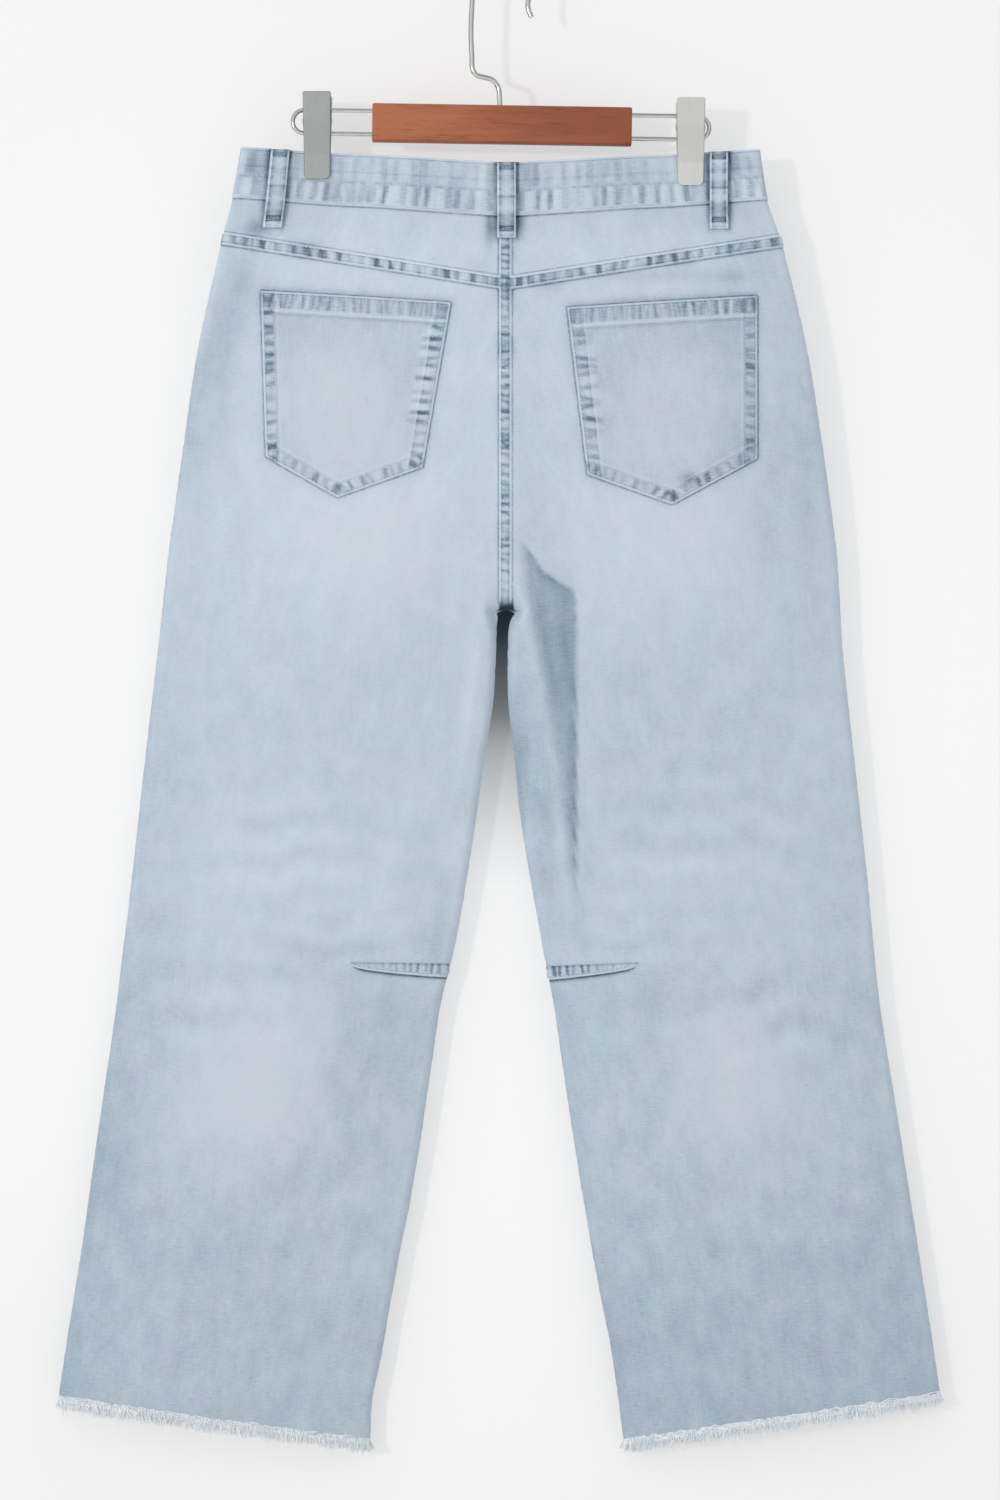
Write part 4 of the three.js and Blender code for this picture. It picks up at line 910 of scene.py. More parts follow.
class Cloth:
    """A grid of points on the skin, and what sewing and washing did there, with light and shade painted into
    its tone. "rim" runs from below zero inside a sewn edge to above zero beside it, in millimetres."""

    def __init__(self, surface, uv, tone, blush=0.0):
        self.points, self.normals = surface
        self.uv, self.tone = np.stack(np.broadcast_arrays(*uv), -1), tone
        self.blush, self.relief, self.seam = blush + np.zeros(tone.shape), *np.zeros((2, *tone.shape))
        self.rim = np.full(tone.shape, NO_RIM)

    def pucker(self, zone, run, off, seed, spacing, depth=0.28, dark=0.9, pale=0.2, lean=0.0, slant=0.22):
        """Draws the cloth up across a seam, with dye kept in the valleys and worn off the ridges."""
        rope = ropes(run, off, seed, spacing, lean, slant)
        self.relief += zone * rope * depth
        self.tone += zone * np.where(rope < 0, rope * dark, rope * pale)
        self.seam = np.maximum(self.seam, np.clip(zone, 0, 1))

    def turn_in(self, *offs, sink=0.5):
        """Turned edges, each given as the distance inside it."""
        inside = np.minimum.reduce(offs)
        self.rim = -inside
        self.relief -= sink * bump(inside, 0.8)

    def beside(self, outside, where=True):
        """A line along another piece's edge."""
        self.rim = np.where(where, np.minimum(self.rim, outside), self.rim)

    def fell(self, off, run, seed, spacing, side=1.0, share=1.0):
        """A felled seam, "off" millimetres from its middle. Its fold lies towards +off, or -off."""
        half = bpy.context.scene.jeans_cloth.seam / MM / 2
        depth = bpy.context.scene.jeans_cloth.pucker / MM
        off = off * side
        inside = window(off, -half + 0.9, half - 1.3, 1.3) * share * (0.95 + waves(run, seed + 1, 46, 0.45))
        self.relief += 0.7 * share * window(off, -half, half, 1.3)
        self.pucker(inside, run, off, seed, spacing, depth, 1.15, 0.3)
        self.pucker(inside * 0.45, run, off, seed + 5, 4.4, 0.1)
        # The seam's band keeps more dye; the dark line just outside one edge of it is a painted shadow.
        self.tone -= 0.38 * inside + 0.30 * share * bump(off + half + 0.9, 1.2)
        self.tone = np.maximum(self.tone, -1.15)
        self.beside(np.abs(off - 0.1) - half, share > 0.3)

    def ripple(self, half, face, zone=1.0):
        """The soft waves across the legs, with painted light on their crests and painted shade in their
        troughs.
        """
        wave = ripple_height(half, face, self.points[..., 0], self.points[..., 2]) * zone
        self.relief += wave
        # Painted light and shade: crests paler, troughs darker.
        self.tone += wave * 0.12

    def piece(self, node, rests_on, lift=0.0, thick=None, trims=()):
        """Makes the wall of cloth in place of its CAD node."""
        thick = thick or bpy.context.scene.jeans_cloth.wall / MM
        base = self.points + self.normals * np.asarray(lift)[..., None]
        outer = base + self.normals * self.relief[..., None]
        inner = base - self.normals * (thick - np.clip(self.relief, -0.3, 0.1))[..., None]
        rows, columns = self.tone.shape
        faces = wall_faces(rows, columns)
        slots = np.zeros(len(faces))
        slots[(rows - 1) * (columns - 1) : 2 * (rows - 1) * (columns - 1)] = 1
        # What the inside shows of each field: a share of it, and what is added to that. The inside is painted
        # darker where the face's tone runs past -1.4, so the painted shade of the deepest gaps shows on it
        # too.
        inside = 3 * np.minimum(self.tone + 1.4, 0)
        fields = {"tone": (self.tone, 0.3, inside), "blush": (self.blush, 0, 0),
                  "rim": (self.rim.clip(-NO_RIM, NO_RIM), 0, NO_RIM), "seam": (self.seam, 0, 0)}
        fields = {name: np.stack([face, face * share + more]) for name, (face, share, more) in fields.items()}
        mesh = mesh_from(
            f"{node}_cloth", np.stack([outer, inner]).reshape(-1, 3), faces, cloth_materials(),
            uv=np.stack([self.uv, self.uv]).reshape(-1, 2), slots=slots, **fields,
        )
        made = add_piece(mesh, "denim", node)
        width, length = float(lengths(base, 1).max()), float(lengths(base, 0).max())
        area = max(0.31 * width * length, min(grid_area(base), width * length))


def cloth_materials():
    """The denim's face and its paler inside."""
    wash, faces = bpy.context.scene.jeans_wash, (("washed_denim", False), ("denim_reverse", True))
    return [once(name, denim_material, wash, inside) for name, inside in faces]


def panel(half, face, centres, flat_steps, start=None):
    """Part of a half as cloth, with its level and distances from the side seam, where it may start late."""
    level = Level(half, centres)
    start = np.zeros((len(centres), 1)) if start is None else start[:, None]
    length = level.length[:, None]
    along = start + (length - start) * (columns_of(level, flat_steps) / length)
    along[:, -1] = level.length
    level = Level(half, np.broadcast_to(centres[:, None], along.shape))
    points, normals = surface(level, face, along)
    x, z = points[..., 0], points[..., 2]
    return Cloth((points, normals), (along, -z), *wash_at(half, face, x, z, level, along)), level, along, x, z


def crotch_painted_shade(level, along, z):
    """Painted shade under the seat's last stitches, and down both sides of the gap below them."""
    reach = np.where(level.centre > CROTCH - 1, 5.8, 0.9)
    beside_gap = window(level.length - along, -1, reach, 0.8)
    return 2.7 * soft((-480 - z) / 10) * beside_gap * soft((level.centre - CROTCH + 6) / 4)


def centre_share(z):
    """How much of its height the centre back seam keeps down to the crotch."""
    return 1 - 0.5 * soft((-446 - z) / 18)


def back_seams(cloth, half, level, along, x, z):
    """The yoke's seam and the centre back seam."""
    off = (z - level_height(Level(half, np.full(x.shape, float(YOKE))), "back", x)) * YOKE_LEAN
    cloth.fell(off, np.abs(x - SEAM_X), *YOKE_FELL[half])
    above = soft((level.centre - CROTCH) / 6) * centre_share(z)
    cloth.fell((level.length - along) * SIGN[half] - SEAM_SHIFT, -z, *CENTRE_FELL, above)
    cloth.tone += loop_shade("back", x, z) - crotch_painted_shade(level, along, z)


def side_seam(cloth, level, along, seed):
    """The pressed-open side seam and inseam."""
    zone = 0.6 * (bump(along, 4) + bump(level.length - along, 4) * level.leg)
    cloth.pucker(zone, -cloth.points[..., 2], 0 * along, seed, 11, 0.3, 0.3, 0.05)


def make_back(half):
    rows = spaced((YOKE, -252, 0.8), (-252, CROTCH, 2.1), (CROTCH, -530, 2.0), (-530, -756, 3.9),
                  (-756, -790, 1.3), (-790, HEM, 3.9))
    cloth, level, along, x, z = panel(half, "back", rows, 84)
    cloth.ripple(half, "back", soft(along / 12))
    side_seam(cloth, level, along, 31 + SIGN[half])
    shade, outside = pocket_shade(half, x, z)
    cloth.tone += shade
    cloth.beside(outside)
    share = (x - DARTS[half][0][0]) / (DARTS[half][1][0] - DARTS[half][0][0])
    below = dart_line(half, share.clip(0, 1), 1)[1] - z
    cloth.beside(np.abs(below), (share > -0.2) & (share < 1))
    # A painted shadow line just under the knee dart's lower edge.
    cloth.tone -= 0.85 * bump(below - 0.9, 1.5) * soft((1 - share) * 8) * (share > -0.2)
    back_seams(cloth, half, level, along, x, z)
    cloth.piece(f"back_{half}", [f"yoke_{half}"], trims=[f"hem_fringe_{half}_threads"])


def make_yoke(half):
    cloth, level, *places = panel(half, "back", spaced((WAIST, -236, 1.7), (-236, YOKE, 0.75)), 84)
    below = WAIST - level.centre
    cloth.beside(below)
    # A painted shadow line just under the waistband's lower edge.
    cloth.tone -= 0.3 * bump(below - 0.8, 1.1)
    back_seams(cloth, half, level, *places)
    cloth.piece(f"yoke_{half}", ["waistband"])


def mouth_at(share):
    """Distance of the front pocket's mouth from the side seam, at a share of its drop."""
    return SCOOP_ACROSS * np.clip(1 - np.clip(share, 0, 1) ** 1.6, 0, 1) ** 0.8


def make_front(half):
    foot = WAIST - SCOOP_DOWN
    rows = spaced((WAIST, foot + 14, 2.4), (foot + 14, foot, 1.1), (foot, CROTCH, 3.2),
                  (CROTCH, -530, 2.4), (-530, HEM, 5.8))
    start = mouth_at((WAIST - rows) / SCOOP_DOWN)
    cloth, level, along, x, z = panel(half, "front", rows, 58, start)
    cloth.ripple(half, "front", soft(along / 12))
    side_seam(cloth, level, along, 61 + SIGN[half])
    above = soft((level.centre - CROTCH) / 6)
    cloth.fell((level.length - along) * SIGN[half], -z, 51, 8, 1, above)
    off = (along - start[:, None]) / np.sqrt(1 + np.gradient(start, rows)[:, None] ** 2)
    beside_mouth = (rows > foot)[:, None]
    near = beside_mouth * window(off, 1.5, 9, 1.4)
    cloth.pucker(near, -z + along * 0.5, off, 41 + SIGN[half], 9)
    cloth.relief += 0.5 * near
    cloth.beside(np.abs(off - 0.2), beside_mouth)
    cloth.tone += loop_shade("front", x, z) - crotch_painted_shade(level, along, z)
    cloth.piece(f"front_{half}", ["waistband"], trims=[f"hem_fringe_{half}_threads"])


def make_facing(half):
    """The pocket's facing fills its mouth, one layer deeper than the front."""
    share = np.linspace(0, 1.06, 50)
    width = mouth_at(share / (1 + SCOOP_UNDER / SCOOP_DOWN)) / SCOOP_ACROSS * (SCOOP_ACROSS + SCOOP_UNDER)
    along = width[:, None] * np.linspace(0, 1, 44) ** 1.2
    level = Level(half, np.broadcast_to((WAIST - share * SCOOP_DOWN)[:, None], along.shape))
    points, normals = surface(level, "front", along)
    x, z = points[..., 0], points[..., 2]
    cloth = Cloth((points, normals), (along, -z), *wash_at(half, "front", x, z, level, along))
    cloth.tone -= 0.2
    cloth.piece(f"pocket_facing_{half}", [f"front_{half}", "waistband"], lift=FACING_LIFT)


# ---- pieces sewn on the panels


def sewn_on(face, half, x, z, u):
    """A piece of cloth over x and z, washed as the panel under it is."""
    return Cloth(over(face, x, z), (u, -z), *wash_at(half, face, x, z))


def pocket_edges(half, x, z):
    """For the mouth, inner side, both sides of the foot and outer side: (distance in, run)."""
    corners = BACK_POCKETS[half]
    lines = [from_line(x, z, *ends) for ends in zip(corners, corners[1:] + corners[:1])]
    return [(off * SIGN[half], run) for off, run in lines]


def pocket_shade(half, x, z):
    """The soft shadow a back pocket leaves on the panel round it, and the distance outside it."""
    edges = pocket_edges(half, x, z)
    offs = np.stack([off for off, _ in edges])
    outside = -offs.min(0)
    over_mouth = bump(edges[0][0] + 1.5, 3.2) * window(offs[1:].min(0), 1, 400, 4)
    return -0.16 * bump(outside - 1, 4) - 0.28 * over_mouth, np.maximum(outside, 0)


def loop_shade(face, x, z):
    """The dark gaps beside the belt loops, deepest at their upper ends and on their right."""
    shade = np.zeros(x.shape)
    for at, top, foot in BELT_LOOPS.values():
        if at == face:
            off, run = from_line(x, z, top, foot)
            length = math.dist(top, foot)
            deep = np.interp(run / length, (0, 0.2, 0.8, 1.1), (1.45, 1.0, 0.8, 0.2))
            deep = deep * np.where(off > 0, 0.95, 1.15) * window(run, -2, length + 3, 5)
            side = np.abs(off) - LOOP_WIDTH / 2
            shade = shade - deep * (bump(side - 0.6, 1.8) + 0.12 * bump(side - 2, 7))
    return shade


def make_back_pocket(half):
    mouth_out, mouth_in, foot_in, point, foot_out = np.array(BACK_POCKETS[half])
    point_at, seed = 0.44, 71 if half == "left" else 81
    share, drop = np.meshgrid(np.linspace(0, 1, 105), np.linspace(0, 1, 100))
    across = share[..., None]
    to_point, from_point = across / point_at, (across - point_at) / (1 - point_at)
    foot = np.where(across < point_at, mix(foot_out, point, to_point), mix(point, foot_in, from_point))
    x, z = np.moveaxis(mix(mix(mouth_out, mouth_in, across), foot, drop[..., None]), -1, 0)
    edges = pocket_edges(half, x, z)
    (mouth_off, mouth_run), (side_off, side_run) = edges[:2]
    cloth = sewn_on("back", half, x, z, mouth_run)
    cloth.tone -= 0.39
    cloth.turn_in(*(off for off, _ in edges))
    # side, spacing, strength, how far the puckers reach in
    inward, outward = (0.8, 1.0) if half == "left" else (0.55, 0.7)
    for number, spacing, strength, reach in (
        (1, 8, inward, 11), (2, 8, 0.6, 9), (3, 9, 0.6, 9), (4, 8, outward, 9),
    ):
        off, run = edges[number]
        between = window(off, 1.8, reach, 1.6) * strength * (0.8 + waves(run, seed + number, 60, 0.35))
        between = between * (0.4 + 0.6 * soft((mouth_off - 9) / 8))
        cloth.pucker(between, run, off, seed + number, spacing, 0.3, 0.95, 0.35, 0.1)
        cloth.pucker(between * 0.3, run, off, seed + number + 20, 3.4, 0.1)
        past = off - POCKET_ROWS[1]
        cloth.tone += 0.22 * bump(past - 2.2, 1.0) - 0.28 * between - 0.30 * bump(past - 0.6, 0.8)
    long_ticks = window(side_off, 5, 17, 4) * window(side_run, 24, 96, 24)
    cloth.pucker(long_ticks * inward, side_run, side_off, seed + 1, 8, 0.3, 0.8, 0.4, 0.1)
    hem = window(mouth_off, 1.6, 12.6, 1.4)
    outer_half = 0.35 + 0.65 * soft((0.75 - share) / 0.5)
    cloth.pucker(hem * outer_half, mouth_run, mouth_off, seed + 8, 7.5, 0.2, 0.32, 0.3)
    cloth.pucker(hem * 0.5, mouth_run, mouth_off, seed + 9, 3.6, 0.08, 0.5, 0.4)
    cloth.relief += 0.5 * window(mouth_off, -1, 14.2, 1.0) + pocket_swell(share, mouth_off)
    inner, below = window(side_off, 1, 400, 1) * window(edges[4][0], 1, 400, 1), mouth_off - POCKET_HEM
    cloth.tone += inner * (0.62 * bump(below - 0.9, 1.1) - 0.35 * bump(below - 3.4, 1.3)) - 0.26 * hem
    for corner in (mouth_out, mouth_in):
        inset = corner + (mix(foot_out, foot_in, 0.5) - corner) * 0.045
        cloth.tone -= 0.2 * bump(np.hypot(x - inset[0], (z - inset[1]) * 0.6), 4.2)
    cloth.tone -= 0.5 * bump(np.hypot(x - point[0], z - point[1] - 7), 4.6)
    middle = bump(share - 0.48, 0.42) * bump(drop - 0.6, 0.4)
    cloth.tone += 0.14 * middle - 0.12 * bump(share, 0.3) * bump(drop, 0.4)
    cloth.blush += 0.22 * middle
    cloth.piece(f"back_pocket_{half}", [f"back_{half}"], POCKET_LIFT)


def pocket_swell(share, down):
    """How far a back pocket's mouth stands off the seat."""
    return POCKET_SWELL * np.sin(math.pi * share) ** 1.4 * bump(down, POCKET_SWELL_OVER)


def loop_lift(share):
    """How high a belt loop's face stands off the skin, from its upper end to its lower end."""
    seat = mix(BAND_PROUD + LOOP_REST, LOOP_REST, soft((share - 0.75) / 0.25))
    return seat + LOOP_RISE * np.sin(math.pi * share) ** 0.7 + LOOP_THICK


def make_belt_loop(name):
    """A folded strip, held down at both ends and standing off the band between them."""
    face, top, foot = BELT_LOOPS[name]
    across, down = np.meshgrid(np.linspace(-0.5, 0.5, 25), np.linspace(0, 1, 84))
    length, across = math.dist(top, foot), across * LOOP_WIDTH
    x, z = mix(top[0], foot[0], down) + across, mix(top[1], foot[1], down)
    off, run = np.abs(across), down * length
    tacks = window(run, 2.2, 6.2, 1.2) + window(run, length - 9, length - 4.6, 1.2)
    tone = -0.14 - 0.30 * bump(off - 4.2, 1.0) + 0.16 * bump(off, 2) - 1.1 * tacks * (off < 5.6)
    tone += 0.3 * bump(run - length + 2.6, 1.6) - 0.6 * bump(run - 0.6, 1.2)
    tone -= 0.5 * bump(run - length * 0.47, 0.9) + 0.3 * window(run, length * 0.66, length - 4, 6)
    cloth, seed = Cloth(over(face, x, z), (across, -z), tone), 90 + list(BELT_LOOPS).index(name)
    cloth.pucker(window(off, 3, 7, 1) * 0.5, run, off, seed, 6.5, 0.12, 0.5)
    cloth.pucker(0.35 + 0 * off, run, 0 * off, seed + 30, 15, 0.05, 0.5, 0.5)
    cloth.turn_in(LOOP_WIDTH / 2 - off, length - run + 0.2)
    cloth.relief += 0.38 * bump(off - 5.3, 1.0) - 0.35 * tacks
    cloth.piece(name, ["waistband"], loop_lift(down), LOOP_THICK)


def dart_line(half, share, height):
    """A place on a knee dart: how far out from the inseam, and how low on its strip."""
    start, end = DARTS[half]
    tall = DART_TALL * np.maximum(1 - share, 0) ** 0.38 + 0.5
    return mix(start[0], end[0], share), mix(start[1], end[1], share) - tall * height, tall


def make_knee_dart(half):
    share, height = np.meshgrid(1 - np.linspace(1, 0, 110) ** 1.6, np.linspace(0, 1, 16))
    x, z, tall = dart_line(half, share, height)
    off, run = height * tall, share * math.dist(*DARTS[half])
    cloth = sewn_on("back", half, x, z, run)
    cloth.turn_in(tall - off, sink=0.4)
    cloth.relief -= 0.35 * bump(off, 1.2)
    zone = window(tall - off, 2.2, tall + 2, 2) * soft(tall / 8) * (0.3 + 0.7 * soft((0.62 - share) / 0.3))
    cloth.pucker(zone, run, off, 101 if half == "left" else 102, 5, 0.2, 0.9, 0.3)
    cloth.tone -= 0.25 * zone + 0.5 * bump(off - 0.4, 1.1)
    cloth.ripple(half, "back")
    cloth.piece(f"knee_dart_{half}", [f"back_{half}"], 0.95, 0.9)


def fly_line(share, drop):
    """A place on the fly: how far across from its edge, and how far down."""
    swept = soft((drop - 0.55) / 0.45)
    width = FLY_WIDTH * np.sqrt(1 - (1 - 0.26**2) * swept**2)
    return FLY_EDGE + width * share, FLY_TOP - FLY_HEIGHT * drop, width


def make_fly():
    share, drop = np.meshgrid(np.linspace(0, 1, 34), np.linspace(0, 1, 100) ** 0.85)
    x, z, width = fly_line(share, drop)
    run, off = drop * FLY_HEIGHT, width * (1 - share)
    cloth = sewn_on("front", "left", x, z, x)
    cloth.turn_in(off, width * share, FLY_HEIGHT - run)
    cloth.pucker(window(off, 2.5, 10, 1.5), run, off, 111, 8)
    cloth.piece("fly", ["front_left", "front_right"], 1.5, 1.0)


def band_section(half, face, stops, centres):
    """Columns on a quarter of the band: stops run 0 to 1 round the side fold and 1 to 2 to the centre."""
    level = Level(half, np.broadcast_to(centres[:, None], (len(centres), len(stops))))
    on_flat = level.fold_length + (level.flat_length + level.inner_length) * (stops - 1)
    along = np.where(stops < 1, level.fold_length * stops, np.where(stops >= 2, level.length, on_flat))
    return surface(level, face, along)


def band_across(x, centres):
    """Columns on the front of the band at the given X."""
    points, normals = np.zeros((2, len(centres), len(x), 3))
    for half, there in by_half(x):
        level = Level(half, np.broadcast_to(centres[:, None], (len(centres), there.sum())))
        points[:, there], normals[:, there] = surface(level, "front", along_at(level, x[there]))
    return points, normals


def make_waistband():
    centres = spaced((TOP, -152, 0.5), (-152, -187, 1.05), (-187, WAIST, 0.6))
    quarter = np.concatenate([np.linspace(0, 1, 7), np.linspace(1, 2, 90)[1:]])
    under, end = np.linspace(LAP_UNDER, LAP_OVER - 4, 18), np.linspace(LAP_UNDER + LAP_RAMP, LAP_OVER, 27)
    parts = [
        band_across(under, centres),
        band_section("right", "front", quarter[quarter < 1.89][::-1], centres),
        band_section("right", "back", quarter[1:], centres),
        band_section("left", "back", quarter[::-1][1:], centres),
        band_section("left", "front", quarter[quarter < 1.78][1:], centres),
        band_across(end, centres),
    ]
    points, normals = (np.concatenate(column, 1) for column in zip(*parts))
    push = np.zeros(points.shape[1])
    push[: len(under)] = -LAP_LIFT
    push[-len(end) :] = LAP_LIFT * soft((LAP_UNDER + LAP_RAMP - end) / (LAP_RAMP - 4))
    steps = np.linalg.norm(np.diff(points[len(centres) // 2], axis=0), axis=-1)
    run, down = np.meshgrid([0, *np.cumsum(steps)], (TOP - centres) * BAND_TALL / (TOP - WAIST))
    x, z = points[..., 0], points[..., 2]
    tone = -0.02 + 0.16 * waves(run, 125, 70) + 0.12 * window(down, 2, 20, 3) * waves(run, 126, 26)
    cloth = Cloth((points, normals), (run, down), tone)
    cloth.turn_in(down, BAND_TALL - down, sink=0.4)
    low = window(down, 22.5, 37.2, 1.8) * (0.8 + waves(run, 123, 90, 0.3))
    cloth.pucker(low, run, down, 121, 10.5, 0.36, 0.75, 0.35, 0.05, 0.08)
    cloth.pucker(low * 0.4, run, down, 131, 3.4, 0.1, 0.6)
    cloth.pucker(window(down, 3, 19, 3) * 0.5, run, down, 122, 11, 0.25, 0.55, 0.3, 0.0, 0.1)
    dashes = 0.6 + 0.4 * np.sign(np.sin(run * 0.9)) * np.sign(np.sin(run * 0.23))
    cloth.relief += 0.25 * waves(run, 124, 120) - 0.22 * bump(down - 21.3, 0.9)
    cloth.tone -= 0.45 * bump(down - 21.3, 0.9) * dashes + 0.22 * bump(down - 13.8, 0.9)
    cloth.tone -= 0.3 * bump(down - 39, 0.9) * (0.6 + waves(run, 128, 60, 0.5)) - 0.45 * bump(down - 38, 1.0)
    # shaded and worn places beside the side belt loops
    cloth.tone -= 0.7 * (0.6 * bump(x - 188, 10) + 0.3 * bump(x + 186, 9)) * bump(down - 13, 10)
    cloth.tone += 0.4 * bump(x - 188, 10) * bump(down - 30, 9) + 0.35 * bump(x + 176, 9) * bump(down - 26, 15)
    for face in ("back", "front"):
        cloth.tone += (points[..., 1] * SIGN[face] > 0) * loop_shade(face, x, z)
    rests = ["clip_left_back_plate", "clip_right_back_plate"]
    cloth.piece("waistband", rests, BAND_PROUD + push[None, :], BAND_THICK)


# ---- fringe


def cut_threads(start, threads, shortest, longest, radius, tangle, across_threads, seed):
    """Cut threads along a hem, and the loose threads that still lie across them."""
    add, place = start.add, start.add("InputPosition")

    def chance(low, high, step):
        return add("RandomValue", data_type="FLOAT", at={2: low, 3: high, 8: seed + step}, out=1)

    up = add("InputNamedAttribute", data_type="FLOAT_VECTOR", Name="up")
    curve = add("MeshToCurve", Mesh=start)
    roots = add("ResampleCurve", mode="COUNT", Curve=curve, Count=threads)
    clump = place.noise(95.0, 2.0, 0.6)
    rise = chance(-0.0020, 0.0008, 0) + (clump - 0.5) * 0.006
    above = rise.sum("GREATER_THAN", rise, 0.0)
    stand = above * chance(0.00008, 0.0005, 1) + (1 - above) * chance(-0.0011, 0.0001, 2)
    offset = up.vector("SCALE", stand).vector("ADD", add("CombineXYZ", 0.0, 0.0, rise))
    roots = add("SetPosition", Geometry=roots, Offset=offset)
    line = add("CurvePrimitiveLine", Start=(0, 0, 0), End=(0, 0, -1))
    line = add("ResampleCurve", mode="COUNT", Curve=line, Count=5)
    lobe = ((clump - 0.36) * 2.6).clamp() * 0.85 + chance(0.0, 1.0, 3) * 0.15
    stray = start.sum("GREATER_THAN", chance(0.0, 1.0, 4), 0.985)
    length = shortest + (longest - shortest) * lobe + rise.sum("MAXIMUM", rise, 0.0) + stray * 0.005
    turn = add("EulerToRotation", add("CombineXYZ", chance(-0.25, 0.25, 6), chance(-0.5, 0.5, 5), 0.0))
    size = add("CombineXYZ", 1.0, 1.0, length)
    threads = add("InstanceOnPoints", Points=roots, Instance=line, Rotation=turn, Scale=size)
    threads, down = add("RealizeInstances", Geometry=threads), add("SplineParameter")
    waver = place.noise(310.0, out="Color")
    waver = waver.vector("SUBTRACT", (0.5, 0.5, 0.5)).vector("MULTIPLY", (1.6, 0.5, 0.5))
    threads = add("SetPosition", Geometry=threads, Offset=waver.vector("SCALE", tangle * down))
    ring = add("CurvePrimitiveCircle", Resolution=3, Radius=radius)
    shapes = add("CurveToMesh", Curve=threads, Profile_Curve=ring, Scale=1 - down * 0.3, Fill_Caps=True)
    crossing = add("ResampleCurve", mode="LENGTH", Curve=curve, Length=0.0014)
    copies = add("MeshLine", Count=across_threads, Start_Location=(0, 0, 0.0006), Offset=(0, 0, -0.0011))
    crossing = add("InstanceOnPoints", Points=copies, Instance=crossing)
    crossing = add("RealizeInstances", Geometry=crossing)
    loose = place.noise(170.0, 3.0, out="Color")
    loose = loose.vector("SUBTRACT", (0.5, 0.5, 0.5)).vector("MULTIPLY", (0.002, 0.0022, 0.0052))
    crossing = add("SetPosition", Geometry=crossing, Offset=loose)
    crossing = add("CurveToMesh", Curve=crossing, Profile_Curve=ring, Scale=1.3, Fill_Caps=True)
    join = add("JoinGeometry", Geometry=shapes)
    start.tree.links.new(crossing.socket, join.socket.node.inputs[0])
    return join


def make_fringe(half):
    cloth, wash, name = bpy.context.scene.jeans_cloth, bpy.context.scene.jeans_wash, f"hem_fringe_{half}"
    maker = once("fringe", Maker, cut_threads, threads=3000, shortest=0.004, longest=0.011,
                 thread_radius=0.00031, tangle=0.0032, across_threads=5, seed=7)
    # The cut cotton glows faintly: painted light.
    cotton = once("cut_cotton", thread_material, wash.fringe, wash.fringe_dark, 1900.0, 0.06)
    level = Level(half, np.full(240, float(HEM)))
    along = np.linspace(0, 1, 240) * level.length
    faces = [surface(level, face, along) for face in ("back", "front")]
    edge = [np.concatenate([back, front[::-1]]) for back, front in zip(*faces)]
    mesh = maker.run(
        f"{name}_threads", lines_mesh([edge]), threads=cloth.fringe_threads, shortest=cloth.fringe_short,
        longest=cloth.fringe_long, seed=7 if half == "left" else 8, material=cotton,
    )
    add_piece(mesh, "fringe", name)


# ---- stitch lines


def stand_off(places, lift):
    """Points moved "lift" off the skin, with their normals."""
    points, normals = places
    return points + normals * np.asarray(lift)[..., None], normals


def level_line(face, half, x, centre, lift):
    """A line along a level of one half, at the given X."""
    level = Level(half, np.full(x.shape, float(centre)))
    return stand_off(surface(level, face, along_at(level, x)), lift)


def fell_height(off, run, *seam):
    """How high a felled seam stands along a line that keeps "off" its middle."""
    line = Cloth((None, None), (0, 0), np.zeros(run.shape))
    line.fell(np.full(run.shape, off), run, *seam)
    return line.relief + 0.05


def seat_lines():
    """Two rows along the yoke's seam and two down the centre back seam."""
    lines, z = [], np.linspace(WAIST - 2, CROTCH + 11, 420)
    for half in HALVES:
        x = np.linspace(Level(half, YOKE).out - SIGN[half] * 6, SEAM_X + SIGN[half] * 3, 300)
        for off in FELL_ROWS:
            lift = fell_height(off, np.abs(x - SEAM_X), *YOKE_FELL[half])
            points, normals = level_line("back", half, x, YOKE, lift)
            points[:, 2] += off / YOKE_LEAN
            lines.append((points, normals))
    for off in FELL_ROWS:
        lift = fell_height(off, -z, *CENTRE_FELL, centre_share(z))
        lines.append(stand_off(over("back", SEAM_X + SEAM_SHIFT + off, z), lift))
    return lines


def inset_corner(before, corner, after, sign, *insets):
    """Where two sides of a pocket meet once they are moved in."""
    sides = [side / np.hypot(*side) for side in (corner - before, after - corner)]
    inward = np.array([(-side[1], side[0]) for side in sides]) * sign
    return np.linalg.solve(inward, inward @ corner + insets)


